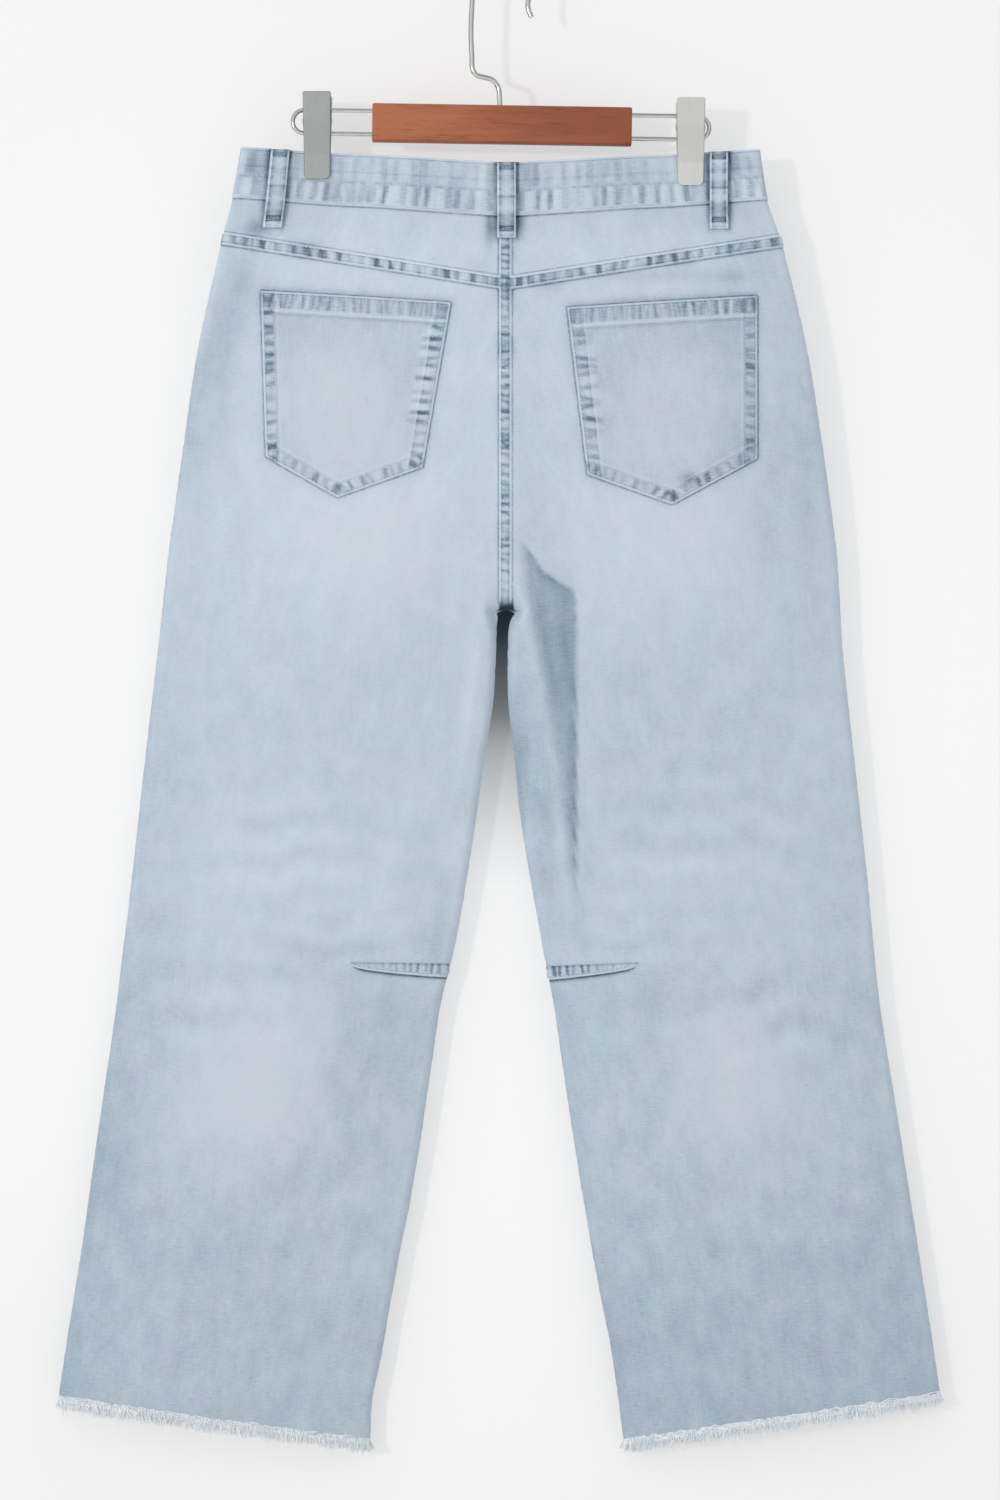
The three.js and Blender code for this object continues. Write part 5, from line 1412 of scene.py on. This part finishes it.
def pocket_lines(half):
    """Two rows round a back pocket, one along its hem and a bartack at both ends of its mouth."""
    corners, sign, lines = np.array(BACK_POCKETS[half], float), SIGN[half], []
    for row in POCKET_ROWS:
        places = []
        for k in (1, 2, 3, 4, 0):
            insets = (0.6, row) if k == 1 else (row, 0.6) if k == 0 else (row, row)
            places.append(inset_corner(corners[k - 1], corners[k], corners[(k + 1) % 5], sign, *insets))
        for start, end in zip(places, places[1:]):
            share = np.linspace(0, 1, int(math.dist(start, end) / 1.2))[:, None]
            lines.append(stand_off(over("back", *mix(start, end, share).T), POCKET_LIFT - 0.02))
    share, mouth_out, mouth_in = np.linspace(0.01, 0.99, 120), corners[0], corners[1]
    down = mix(corners[4], corners[2], 0.5) - mix(mouth_out, mouth_in, 0.5)
    place = mix(mouth_out, mouth_in, share[:, None]) + down / np.hypot(*down) * POCKET_HEM
    lift = POCKET_LIFT + 0.42 + pocket_swell(share, POCKET_HEM)
    lines.append(stand_off(over("back", *place.T), lift))
    for corner, inward in ((mouth_out, -sign), (mouth_in, sign)):
        x, z = corner + (3.0 * inward, -5.5)
        (point,), (normal,) = stand_off(over("back", [x], [z]), POCKET_LIFT + 0.15)
        lines.append(bartack(point, np.array((1.0, 0, 0)), normal, 1.8, 9.5))
    return lines


def loop_lines():
    """A bartack at both ends of each belt loop."""
    lines = []
    for face, top, foot in BELT_LOOPS.values():
        length = math.dist(top, foot)
        for down in (4.2, length - 6.6):
            share = np.array([down / length])
            x, z = (mix(*ends, share) for ends in zip(top, foot))
            (point,), (normal,) = stand_off(over(face, x, z), loop_lift(share) - 0.25)
            lines.append(bartack(point, np.array((0, 0, 1.0)), normal, 2.6, 12.4))
    return lines


def band_lines():
    """A row 1.5 mm above the band's lower edge and one at its middle, all round."""
    lines = []
    for share, lift in ((0.52, -0.12), (0.955, 0.0)):
        centre = mix(TOP, WAIST, share)
        for half in HALVES:
            start = Level(half, centre).out - SIGN[half] * 5.2
            for face in ("back", "front"):
                stop = LAP_UNDER + LAP_RAMP if (half, face) == ("left", "front") else SEAM_X
                lines.append(level_line(face, half, np.linspace(start, stop, 200), centre, BAND_PROUD + lift))
    return lines


def fly_lines():
    """The curved rows of the fly and the rows along the front pockets' mouths."""
    lines, share, (_, z, width) = [], np.linspace(0.03, 0.97, 140), fly_line(0, np.linspace(0.01, 1, 160))
    for inset in (3.2, 9.5):
        lines.append(stand_off(over("front", FLY_EDGE + np.maximum(width - inset, 1), z), 1.5))
    for half in HALVES:
        for inset in (1.8, 8.2):
            along = mouth_at(share) + inset * (1.2 - 0.2 * share)
            level = Level(half, WAIST - share * SCOOP_DOWN)
            lines.append(stand_off(surface(level, "front", along), 0.5))
    return lines


def dart_lines():
    """A row along the foot of each knee dart."""
    lines, share = [], np.linspace(0.01, 0.93, 90)
    for half in HALVES:
        tall = dart_line(half, share, 0)[2]
        x, z, _ = dart_line(half, share, 1 - 1.9 / tall)
        lines.append(stand_off(over("back", x, z), 0.93 + ripple_height(half, "back", x, z)))
    return lines


# ---- hard pieces


def triangles(quads):
    return np.concatenate([quads[:, [0, 1, 2]], quads[:, [0, 2, 3]]])


def closed_tube(rings, *ends):
    """Points and triangles of a tube through rings of points, closed by a point at both ends."""
    sides, count = len(rings[0]), len(rings)
    around, last = np.arange(sides), (count - 1) * sides
    after = (around + 1) % sides
    start = np.stack([np.full(sides, count * sides), around, after], -1)
    end = np.stack([np.full(sides, count * sides + 1), last + after, last + around], -1)
    faces = [triangles(quads_between(sides, count, joined=True)), start, end]
    return np.concatenate([*rings, ends]), np.concatenate(faces)


def revolved(profile, steps):
    """A closed turned shape about Z. Its profile (radius, height) starts and ends on the axis."""
    across, aside = np.cos(turns(steps)), np.sin(turns(steps))
    rings = [np.stack([r * across, r * aside, np.full(steps, h)], -1) for r, h in profile[1:-1]]
    return closed_tube(rings, (0, 0, profile[0][1]), (0, 0, profile[-1][1]))


def smooth_route(places, per_span=10):
    """A centripetal curve through the places."""
    places = np.asarray(places, float)
    ends = [2 * places[0] - places[1], *places, 2 * places[-1] - places[-2]]
    route = []
    for k in range(1, len(ends) - 2):
        four = [np.asarray(ends[k + step]) for step in (-1, 0, 1, 2)]
        knots = [0.0]
        for before, after in zip(four, four[1:]):
            knots.append(knots[-1] + max(math.dist(before, after), 1e-6) ** 0.5)
        t = np.linspace(knots[1], knots[2], per_span, endpoint=False)[:, None]

        def between(low, high, start, end):
            return ((high - t) * start + (t - low) * end) / (high - low)

        a = [between(knots[i], knots[i + 1], four[i], four[i + 1]) for i in range(3)]
        b = [between(knots[i], knots[i + 2], a[i], a[i + 1]) for i in range(2)]
        route.append(between(knots[1], knots[2], b[0], b[1]))
    return np.concatenate([*route, places[-1:]])


def wire_tube(route, radius, sides=18, ease=0.6):
    """A wire in the XZ plane along a route, its ends eased over."""
    tangent = np.gradient(route, axis=0)
    tangent /= np.linalg.norm(tangent, axis=1, keepdims=True)
    side, steps = np.array((0, 1.0, 0)), np.sin(np.linspace(0, math.pi / 2, 5))
    up, across, aside = np.cross(side, tangent), np.cos(turns(sides)), np.sin(turns(sides))

    def eased(k, way):
        """Places past one end, each with its number on the route and its radius."""
        return [(route[k] + way * tangent[k] * ease * (1 - step), k, radius - ease * rounding(step, 1))
                for step in steps[::-way]]

    middle = [(place, k, radius) for k, place in enumerate(route[1:-1], 1)]
    rings = [*eased(0, -1), *middle, *eased(-1, 1)]
    tube = [place + size * (across[:, None] * side + aside[:, None] * up[k]) for place, k, size in rings]
    return closed_tube(tube, rings[0][0], rings[-1][0])


def on_hanger(points):
    """From the bar's own place to the tilted place where it hangs."""
    x, y, z = np.moveaxis(points, -1, 0)
    cos, sin = math.cos(BAR_TILT), math.sin(BAR_TILT)
    return np.stack([x * cos + z * sin + BAR_X, y, z * cos - x * sin + BAR_Z], -1)


def hard_piece(name, shape, material, slot, node):
    add_piece(mesh_from(name, *shape, [material], 35), slot, node)


def make_bar():
    """A rounded oblong of wood, its ends eased."""
    corner, ease, far = 2.6, 1.1, BAR_LONG / 2
    outline = []
    for k, (side, tall) in enumerate(((1, 1), (-1, 1), (-1, -1), (1, -1))):
        angle = np.linspace(0, math.pi / 2, 7) + k * math.pi / 2
        centre = side * (BAR_DEEP / 2 - corner), tall * (BAR_TALL / 2 - corner)
        outline.append(centre + corner * np.stack([np.cos(angle), np.sin(angle)], -1))
    outline = np.concatenate(outline)
    inward = outline / np.linalg.norm(outline, axis=1, keepdims=True)
    turn = np.linspace(0, math.pi / 2, 6)
    end = [(far - ease * (1 - math.sin(a)), ease * (1 - math.cos(a))) for a in turn]
    middle = [(x, 0.0) for x in np.linspace(ease - far, far - ease, 40)[1:-1]]
    rings = sorted([*((-x, shrink) for x, shrink in end), *middle, *end])
    rings = [np.column_stack([np.full(len(outline), x), outline - inward * shrink]) for x, shrink in rings]
    points, faces = closed_tube(rings, (-far, 0, 0), (far, 0, 0))
    wood = once("bar_wood", wood_material, bpy.context.scene.hanger_look)
    hard_piece("hanger_bar_wood", (on_hanger(points), faces), wood, "wood", "hanger_bar")


def bright_wire():
    return once("bright_wire", metal_material, bpy.context.scene.hanger_look.wire, 0.16, 0.03)


def make_rail(half):
    apart, bend_at, name = RAIL_APART / 2, RAIL_END - BAR_X * SIGN[half], f"hanger_rail_{half}"
    turn = np.linspace(0, math.pi, 40)
    straight = np.linspace(BAR_LONG / 2 - RAIL_SUNK, bend_at, 24)[:-1]
    x = np.concatenate([straight, bend_at + apart * np.sin(turn), straight[::-1]])
    z = np.concatenate([apart + 0 * straight, apart * np.cos(turn), 0 * straight - apart])
    points, faces = wire_tube(np.stack([SIGN[half] * x, 0 * x, z], -1), RAIL_RADIUS)
    hard_piece(f"{name}_wire", (on_hanger(points), faces), bright_wire(), "wire", name)


def make_hook():
    turn, centre = np.radians(np.linspace(0, HOOK_SWEEP, 15)), HOOK_RADIUS - HOOK_BEND
    bend = [(HOOK_BEND * math.cos(a), centre + HOOK_BEND * math.sin(a)) for a in turn]
    route = smooth_route([(x, 0, z) for x, z in (*HOOK_ROUTE, *bend, *HOOK_TIP)])
    shape = wire_tube(route, HOOK_RADIUS, 20)
    hard_piece("hanger_hook_wire", shape, bright_wire(), "wire", "hanger_hook")


def plate_off(z):
    """How far a clip's plate stands off its grip at a height, its bends rounded."""
    return smoothed(CLIP_BENDS, z, 2.4)


def plate_half_width(z):
    """Half the width of a clip's plate at a height, its corners rounded."""
    half = mix(CLIP_FOOT, CLIP_WIDTH, np.clip((z - CLIP_BOTTOM) / (CLIP_TOP - CLIP_BOTTOM), 0, 1)) / 2
    return half - 4.0 * rounding(z - CLIP_BOTTOM, 4.0) - 1.5 * rounding(CLIP_TOP - z, 1.5)


def ear(ear_x, side):
    """A flange of the plate, folded inwards and round the pin."""
    turn = np.linspace(math.pi / 2, math.pi * 1.5, 18)
    outline = [(PIN_EAR * math.cos(a), PIN_EAR * math.sin(a)) for a in turn]
    outline = np.array([*outline, (CLIP_GRIP + 5.2, -PIN_EAR), (CLIP_GRIP + 5.8, PIN_EAR)])
    middle = outline.mean(0)
    inward = (outline - middle) / np.linalg.norm(outline - middle, axis=1, keepdims=True)
    rings = []
    for x, shrink in ((0, 0.25), (0.1, 0.1), (0.3, 0.0), (EAR_SHEET - 0.3, 0.0), (EAR_SHEET - 0.1, 0.1),
                      (EAR_SHEET, 0.25)):
        place = np.full(len(outline), side * (ear_x - x))
        rings.append(np.column_stack([place, outline - inward * shrink]))
    return closed_tube(rings, (side * ear_x, *middle), (side * (ear_x - EAR_SHEET), *middle))


def make_clip_plate(half, which, ear_x):
    look, name = bpy.context.scene.hanger_look, f"clip_{half}_{which}"
    z = np.concatenate([
        np.linspace(CLIP_TOP, CLIP_TOP - 1.5, 9)[:-1], np.linspace(CLIP_TOP - 1.5, -40, 62)[:-1],
        CLIP_BOTTOM + 4 * (1 - np.sin(np.linspace(0, math.pi / 2, 12))),
    ])
    slope = np.gradient(plate_off(z), z)
    across = mix(np.sin(np.linspace(-math.pi / 2, math.pi / 2, 27)), np.linspace(-1, 1, 27), 0.55)
    across, z = np.meshgrid(across, z)
    width = plate_half_width(z)
    x = width * across
    normal = np.stack([0 * x, 1 + 0 * x, 0 * x - slope[:, None]], -1)
    normal /= np.linalg.norm(normal, axis=-1, keepdims=True)
    rim = np.minimum.reduce([width - np.abs(x), CLIP_TOP - z, z - CLIP_BOTTOM])
    eased = 0.4 * rounding(rim, 0.7)
    base = np.stack([x, CLIP_GRIP + plate_off(z), z], -1)
    plate = np.stack([base + normal * deep[..., None] for deep in (CLIP_SHEET - eased, eased)])
    shapes = [(plate.reshape(-1, 3), triangles(wall_faces(*z.shape))), ear(ear_x, 1), ear(ear_x, -1)]
    first = np.cumsum([0, *(len(points) for points, _ in shapes)])
    faces = np.concatenate([turned_out(*shape) + start for shape, start in zip(shapes, first)])
    points = np.concatenate([points for points, _ in shapes]) * ((-1, -1, 1) if which == "front" else 1)
    points = points + (CLIP_X[half], 0, CLIP_Z[half])
    # The two clips are alike; the left gets darker, rougher steel than the right, painted shade and light for
    # how each catches the light.
    colour, rough = (look.clip_left, 0.42) if half == "left" else (look.clip_right, 0.3)
    steel = once(f"clip_steel_{half}", metal_material, colour, rough, 0.1, (1, 1, 0.15))
    hard_piece(f"{name}_steel", (points, faces), steel, "clip_steel", f"{name}_plate")


def make_pin(half):
    shoulder, name = EAR_OUT + EAR_SHEET + 0.3, f"clip_{half}_pin"
    end = shoulder + 0.9
    side = [(0, end), (PIN_HEAD * 0.6, end), (PIN_HEAD * 0.92, end - 0.15), (PIN_HEAD, end - 0.4),
            (PIN_HEAD, shoulder), (PIN_RADIUS, shoulder)]
    points, faces = revolved([(r, -h) for r, h in side] + side[::-1], 28)
    points = points[:, [2, 1, 0]] * (1, -1, 1) + (CLIP_X[half], 0, CLIP_Z[half])
    hard_piece(f"{name}_steel", (points, faces), bright_wire(), "wire", name)


def coil_spring(start, coils, coil_radius, wire_radius, coil_length):
    """A coil of round wire along X."""
    spiral = start.add("CurveSpiral", Resolution=22, Rotations=coils, Start_Radius=coil_radius,
                       End_Radius=coil_radius, Height=coil_length)
    ring = start.add("CurvePrimitiveCircle", Resolution=8, Radius=wire_radius)
    coil = start.add("CurveToMesh", Curve=spiral, Profile_Curve=ring, Fill_Caps=True)
    return start.add("Transform", Geometry=coil, Rotation=(0, math.pi / 2, 0))


def make_spring(half):
    sizes = {"coils": 11.0, "coil_radius": SPRING_RADIUS * MM, "wire_radius": SPRING_WIRE * MM / 2,
             "coil_length": 2 * SPRING_HALF * MM}
    maker, name = once("coil_spring", Maker, coil_spring, **sizes), f"clip_{half}_spring"
    mesh = maker.run(f"{name}_coil", bpy.data.meshes.new("spring"), material=bright_wire(), **sizes)
    mesh.transform(Matrix.Translation(Vector((CLIP_X[half] - SPRING_HALF, 0, CLIP_Z[half])) * MM))
    add_piece(mesh, "wire", name)


def make_button():
    """A domed cap with a rolled rim on the lap of the band, facing forward."""
    low, high = (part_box("waist_button")[k] / MM for k in (0, 1))
    centre, radius, height = (low + high) / 2, BUTTON_RADIUS, BUTTON_HEIGHT
    turn = np.linspace(-1.2, 1.9, 12)
    rim = [(radius - 1.1 + 1.1 * math.cos(a), height - 1.1 + 1.1 * math.sin(a)) for a in turn]
    profile = [(0, 0), (radius * 0.78, 0), (radius * 0.84, 0.4), *rim,
               (radius * 0.62, height - 0.75), (radius * 0.55, height - 0.62),
               (radius * 0.3, height - 0.34), (radius * 0.1, height - 0.28), (0, height - 0.28)]
    points, faces = revolved(profile, 56)
    points = points[:, [0, 2, 1]] * (1, -1, 1) + (centre.x, high.y, centre.z)
    metal = once("button_metal", metal_material, bpy.context.scene.hanger_look.button, 0.34, 0.12)
    hard_piece("waist_button_cap", (points, faces), metal, "button", "waist_button")


# ---- stage


def stage_sheet(name, rows, half_width, material):
    """A sheet of paint through (y, z) places, as wide as the stage."""
    mesh = bpy.data.meshes.new(name)
    corners = [(x, y, z) for y, z in rows for x in (half_width, -half_width)]
    faces = [(2 * k, 2 * k + 1, 2 * k + 3, 2 * k + 2) for k in range(len(rows) - 1)]
    mesh.from_pydata(corners, [], faces)
    mesh.polygons.foreach_set("use_smooth", [True] * len(faces))
    mesh.materials.append(material)
    sheet = bpy.data.objects.new(name, mesh)
    bpy.context.scene.collection.objects.link(sheet)
    return sheet


# The wall's distance behind the jeans' middle, from the top down. They lean on it at the hems.
WALL = ((0.6, -0.041), (-0.2, -0.041), (-0.35, -0.030), (-0.5, -0.0225), (-0.75, -0.0185),
        (-0.95, -0.0170), (-1.2, -0.0158), (-1.8, -0.0158))


def painted_material(name, colour, glow=0.0):
    """Matt paint with a faint mottle. Paint with a glow of its own can be seen through from behind, glows a
    little more round the wall's middle, a painted pool of light, and has a painted shadow between the legs,
    where the jeans shade it."""
    wire = Finish(name)
    place = wire.place()
    shade = wire.blend(place.noise(3.0, 3.0), scaled(colour, 0.985), colour)
    if not glow:
        paint = wire.add("BsdfDiffuse", Color=shade)
    else:
        across, up = place.axis("X"), place.axis("Z")
        # A painted pool of light: the wall glows a little more round its middle.
        near = (1 - across * across * 3 - (up + 0.62) * (up + 0.62) * 2.4).clamp()
        # A painted shadow between the legs: near-black paint, deepest at the crotch and fading out downwards.
        between = (1.2 - (across + 0.006).absolute() * 15).clamp()
        deep = (0.7 + up).ramp(
            (0.0, 0.0), (0.04, 0.12), (0.096, 0.42), (0.111, 0.52), (0.13, 0.74), (0.148, 0.835),
            (0.175, 0.92), (0.195, 0.975), (0.225, 1.0), (0.24, 0.0),
        )
        shade = wire.blend(between * deep, shade, (0.004, 0.017, 0.031))
        light = wire.add("Emission", Color=shade, Strength=near * 0.12 + 1.04)
        paint = wire.add("MixShader", glow, wire.add("BsdfDiffuse", Color=shade), light)
        behind = wire.add("NewGeometry", out="Backfacing")
        paint = wire.add("MixShader", behind, paint, wire.add("BsdfTransparent"))
    wire.add("OutputMaterial", Surface=paint)
    return wire.material


def make_world(studio):
    """A soft pale sky, a little brighter from above and from the left. Metals mirror darker bands."""
    world = bpy.context.scene.world = bpy.data.worlds.new("studio")
    world.use_nodes = True
    world.node_tree.nodes.clear()
    wire = Wire(world.node_tree)
    direction = wire.add("TexCoord", out="Generated")
    across, up = direction.axis("X"), direction.axis("Z")
    side = (across * 0.5 + 0.5).ramp((0.0, 0.35), (0.3, 0.9), (0.46, 0.55), (0.6, 1.0), (1.0, 0.5))
    height = (up * 0.5 + 0.5).ramp((0.2, 0.35), (0.45, 0.8), (0.62, 1.0), (0.9, 0.6))
    glossy = wire.add("LightPath", out="Is Glossy Ray")
    level = side * height * glossy + (1 + across * studio.lean + up * studio.lean) * (1 - glossy)
    sky = wire.add("Background", Color=studio.sky, Strength=level * studio.ambient)
    wire.add("OutputWorld", Surface=sky)


# What the camera sees, in metres: how tall it is at the cloth's face, how far that face is from the
# jeans' middle, and where its centre is.
VIEW_TALL, CLOTH_FACE, VIEW_X, VIEW_Z = 1.14, 0.008, 0.00076, -0.59634


def make_stage():
    studio, scene = bpy.context.scene.jeans_studio, bpy.context.scene
    scene.view_settings.view_transform = "Standard"
    make_world(studio)
    low, high = Vector(CAD_BOX[0]), Vector(CAD_BOX[1])
    rows = [(smoothed(WALL, z, 0.08), z) for z in np.linspace(low.z - 0.64, high.z + 0.5, 90)]
    wall = stage_sheet("wall", rows, 0.95, painted_material("wall_paint", studio.wall, 0.45))
    wall.visible_diffuse = wall.visible_glossy = wall.visible_shadow = False
    foot, reach = low.z - 0.24, 3.0
    floor = painted_material("floor_paint", studio.floor)
    stage_sheet("floor", [(reach, foot), (-reach, foot)], reach, floor)

    light = bpy.data.lights.new("key", "AREA")
    light.shape, light.size, light.size_y = "DISK", studio.key_size, studio.key_size
    light.energy, light.color = studio.key_power, studio.key_colour
    key = bpy.data.objects.new("key", light)
    scene.collection.objects.link(key)
    turn, rise = studio.key_turn, studio.key_rise
    toward = Vector((math.sin(turn) * math.cos(rise), math.cos(turn) * math.cos(rise), math.sin(rise)))
    key.location = Vector((0.0008, 0, (low.z + high.z) / 2 - 0.03)) + toward * studio.key_distance
    key.rotation_euler = toward.to_track_quat("Z", "Y").to_euler()

    camera = bpy.data.cameras.new("camera")
    camera.sensor_fit, camera.sensor_height, camera.sensor_width = "VERTICAL", 36, 24
    camera.lens = camera.sensor_height * (studio.camera_distance - CLOTH_FACE) / VIEW_TALL
    camera.clip_end = 30
    eye = bpy.data.objects.new("camera", camera)
    scene.collection.objects.link(eye)
    eye.location = (VIEW_X, studio.camera_distance, VIEW_Z)
    eye.rotation_euler = (math.pi / 2, 0, math.pi)
    scene.camera = eye


# ---- settings


def number_setting(label, text, value, **more):
    return FloatProperty(name=label, description=text, default=value, **more)


def length_setting(label, text, value):
    return number_setting(label, text, value, min=0, unit="LENGTH", precision=5)


def angle_setting(label, text, degrees):
    return number_setting(label, text, math.radians(degrees), subtype="ANGLE")


def colour_setting(label, text, value):
    return FloatVectorProperty(name=label, description=text, default=value, min=0, max=1, subtype="COLOR")


class JeansCloth(bpy.types.PropertyGroup):
    wall: length_setting("Cloth", "Thickness of one layer of denim", 0.0012)
    seam: length_setting("Felled seam", "Width of the felled seams", 0.0092)
    pucker: length_setting("Pucker", "Depth of the roping along the seams", 0.00042)
    stitch: length_setting("Stitch", "Length of a stitch", 0.0024)
    stitch_gap: length_setting("Stitch gap", "Between two stitches", 0.0009)
    thread_radius: length_setting("Thread", "Radius of the sewing thread", 0.00024)
    fringe_threads: IntProperty(
        name="Fringe threads", description="Cut threads round one hem", default=2700, min=100
    )
    fringe_short: length_setting("Shortest thread", "Least length of the fringe's threads", 0.0065)
    fringe_long: length_setting("Longest thread", "Greatest length of the fringe's threads", 0.0130)


class JeansWash(bpy.types.PropertyGroup):
    base: colour_setting("Base", "The washed denim, neither worn nor shaded", (0.425, 0.500, 0.578))
    pale: colour_setting("Worn", "Where the dye is worn away", (0.620, 0.705, 0.785))
    deep: colour_setting("Kept", "In the valleys of the seams", (0.140, 0.205, 0.268))
    blush: colour_setting("Blush", "The warm fade of the seat and knees", (0.560, 0.595, 0.670))
    thread: colour_setting("Thread", "Sewing thread on its high side", (0.60, 0.66, 0.72))
    thread_dark: colour_setting("Thread shade", "Sewing thread between its plies", (0.36, 0.43, 0.50))
    fringe: colour_setting("Fringe", "Cut cotton threads", (0.90, 0.93, 0.95))
    fringe_dark: colour_setting("Fringe shade", "Cut threads that kept some dye", (0.62, 0.69, 0.75))


class HangerLook(bpy.types.PropertyGroup):
    wood_light: colour_setting("Wood", "The bar's lighter grain", (0.385, 0.126, 0.057))
    wood_dark: colour_setting("Wood grain", "The bar's darker grain", (0.245, 0.070, 0.034))
    wire: colour_setting("Wire", "Bright plated wire", (0.74, 0.74, 0.72))
    # The two clips' steels are lit and shaded copies of one steel: painted shade on the left clip, painted
    # light on the right.
    clip_left: colour_setting("Left clip", "Steel of the wearer's left clip", (0.455, 0.475, 0.475))
    clip_right: colour_setting("Right clip", "Steel of the wearer's right clip", (0.95, 0.96, 0.92))
    button: colour_setting("Button", "Brushed metal of the waist button", (0.50, 0.50, 0.48))


class JeansStudio(bpy.types.PropertyGroup):
    wall: colour_setting("Wall", "Paint of the backdrop", (0.84, 0.84, 0.84))
    floor: colour_setting("Floor", "Paint of the floor", (0.74, 0.74, 0.74))
    sky: colour_setting("Soft light", "Colour of the light from all round", (1.0, 1.0, 1.0))
    ambient: number_setting("Soft light strength", "Strength of the light from all round", 0.95)
    lean: number_setting("Soft light lean", "How much of it comes from above and the left", 0.22)
    key_colour: colour_setting("Key colour", "Colour of the key light", (1.0, 0.985, 0.96))
    key_power: number_setting("Key", "Power of the key light", 62, min=0, unit="POWER")
    key_size: length_setting("Key size", "Across the key light", 0.30)
    key_distance: length_setting("Key distance", "From the jeans to the key light", 5.5)
    key_turn: angle_setting("Key turn", "How far to the wearer's left the key stands", 33)
    key_rise: angle_setting("Key rise", "How far above the jeans the key stands", 6)
    camera_distance: length_setting("Camera", "From the jeans to the camera", 3.0)


SETTINGS = {"jeans_cloth": JeansCloth, "jeans_wash": JeansWash, "hanger_look": HangerLook,
            "jeans_studio": JeansStudio}


# ---- operators


class JEANS_OT_hems(bpy.types.Operator):
    """Hangs the cut threads of the raw hems"""

    bl_idname = "jeans.hems"
    bl_label = "Raw hems"

    def execute(self, context):
        for half in HALVES:
            make_fringe(half)
        return {"FINISHED"}


class JEANS_OT_panels(bpy.types.Operator):
    """Cuts the backs, the yokes, the fronts and the facings of the front pockets"""

    bl_idname = "jeans.panels"
    bl_label = "Panels"

    def execute(self, context):
        for half in HALVES:
            make_back(half)
            make_yoke(half)
            make_front(half)
            make_facing(half)
        return {"FINISHED"}


class JEANS_OT_trims(bpy.types.Operator):
    """Sews on the back pockets, the waistband, the belt loops, the fly and the knee darts"""

    bl_idname = "jeans.trims"
    bl_label = "Pockets, band and loops"

    def execute(self, context):
        for half in HALVES:
            make_back_pocket(half)
            make_knee_dart(half)
        make_waistband()
        for name in BELT_LOOPS:
            make_belt_loop(name)
        make_fly()
        return {"FINISHED"}


class JEANS_OT_stitches(bpy.types.Operator):
    """Sews the rows of stitches and the bartacks"""

    bl_idname = "jeans.stitches"
    bl_label = "Stitches"

    def execute(self, context):
        stitch("stitches_seat", seat_lines())
        stitch("stitches_back_pockets", [line for half in HALVES for line in pocket_lines(half)])
        stitch("stitches_belt_loops", loop_lines(), 0.0012)
        stitch("stitches_waistband", band_lines())
        stitch("stitches_front", fly_lines())
        stitch("stitches_knee_darts", dart_lines())
        return {"FINISHED"}


class JEANS_OT_button(bpy.types.Operator):
    """Sets the button on the front of the band"""

    bl_idname = "jeans.button"
    bl_label = "Button"

    def execute(self, context):
        make_button()
        return {"FINISHED"}


class JEANS_OT_hanger(bpy.types.Operator):
    """Builds the hanger's bar, rails and hook"""

    bl_idname = "jeans.hanger"
    bl_label = "Hanger"

    def execute(self, context):
        make_bar()
        for half in HALVES:
            make_rail(half)
        make_hook()
        return {"FINISHED"}


class JEANS_OT_clips(bpy.types.Operator):
    """Builds the two sprung clips that hold the band"""

    bl_idname = "jeans.clips"
    bl_label = "Clips"

    def execute(self, context):
        for half in HALVES:
            make_clip_plate(half, "back", EAR_OUT)
            make_clip_plate(half, "front", EAR_IN)
            make_pin(half)
            make_spring(half)
        return {"FINISHED"}


class JEANS_OT_stage(bpy.types.Operator):
    """Sets up the wall, the floor, the lights and the camera"""

    bl_idname = "jeans.stage"
    bl_label = "Stage"

    def execute(self, context):
        make_stage()
        return {"FINISHED"}


OPERATORS = (
    JEANS_OT_stage, JEANS_OT_hems, JEANS_OT_panels, JEANS_OT_trims, JEANS_OT_stitches,
    JEANS_OT_button, JEANS_OT_hanger, JEANS_OT_clips,
)


class JEANS_PT_panel(bpy.types.Panel):
    """The jeans' pieces and settings"""

    bl_idname = "JEANS_PT_panel"
    bl_label = "Jeans"
    bl_space_type = "VIEW_3D"
    bl_region_type = "UI"
    bl_category = "Jeans"

    def draw(self, context):
        for operator in OPERATORS:
            self.layout.operator(operator.bl_idname)
        for name, group in SETTINGS.items():
            box = self.layout.box()
            for setting in group.__annotations__:
                box.prop(getattr(context.scene, name), setting)


def register():
    for group in (*SETTINGS.values(), *OPERATORS, JEANS_PT_panel):
        bpy.utils.register_class(group)
    for name, group in SETTINGS.items():
        setattr(bpy.types.Scene, name, PointerProperty(type=group))


def unregister():
    for name in SETTINGS:
        delattr(bpy.types.Scene, name)
    for group in (JEANS_PT_panel, *OPERATORS[::-1], *SETTINGS.values()):
        bpy.utils.unregister_class(group)


def main():
    register()
    bpy.ops.jeans.stage()
    bpy.ops.jeans.hems()
    bpy.ops.jeans.panels()
    bpy.ops.jeans.trims()
    bpy.ops.jeans.stitches()
    bpy.ops.jeans.button()
    bpy.ops.jeans.hanger()
    bpy.ops.jeans.clips()
    bpy.context.view_layer.update()


if __name__ == "__main__":
    main()
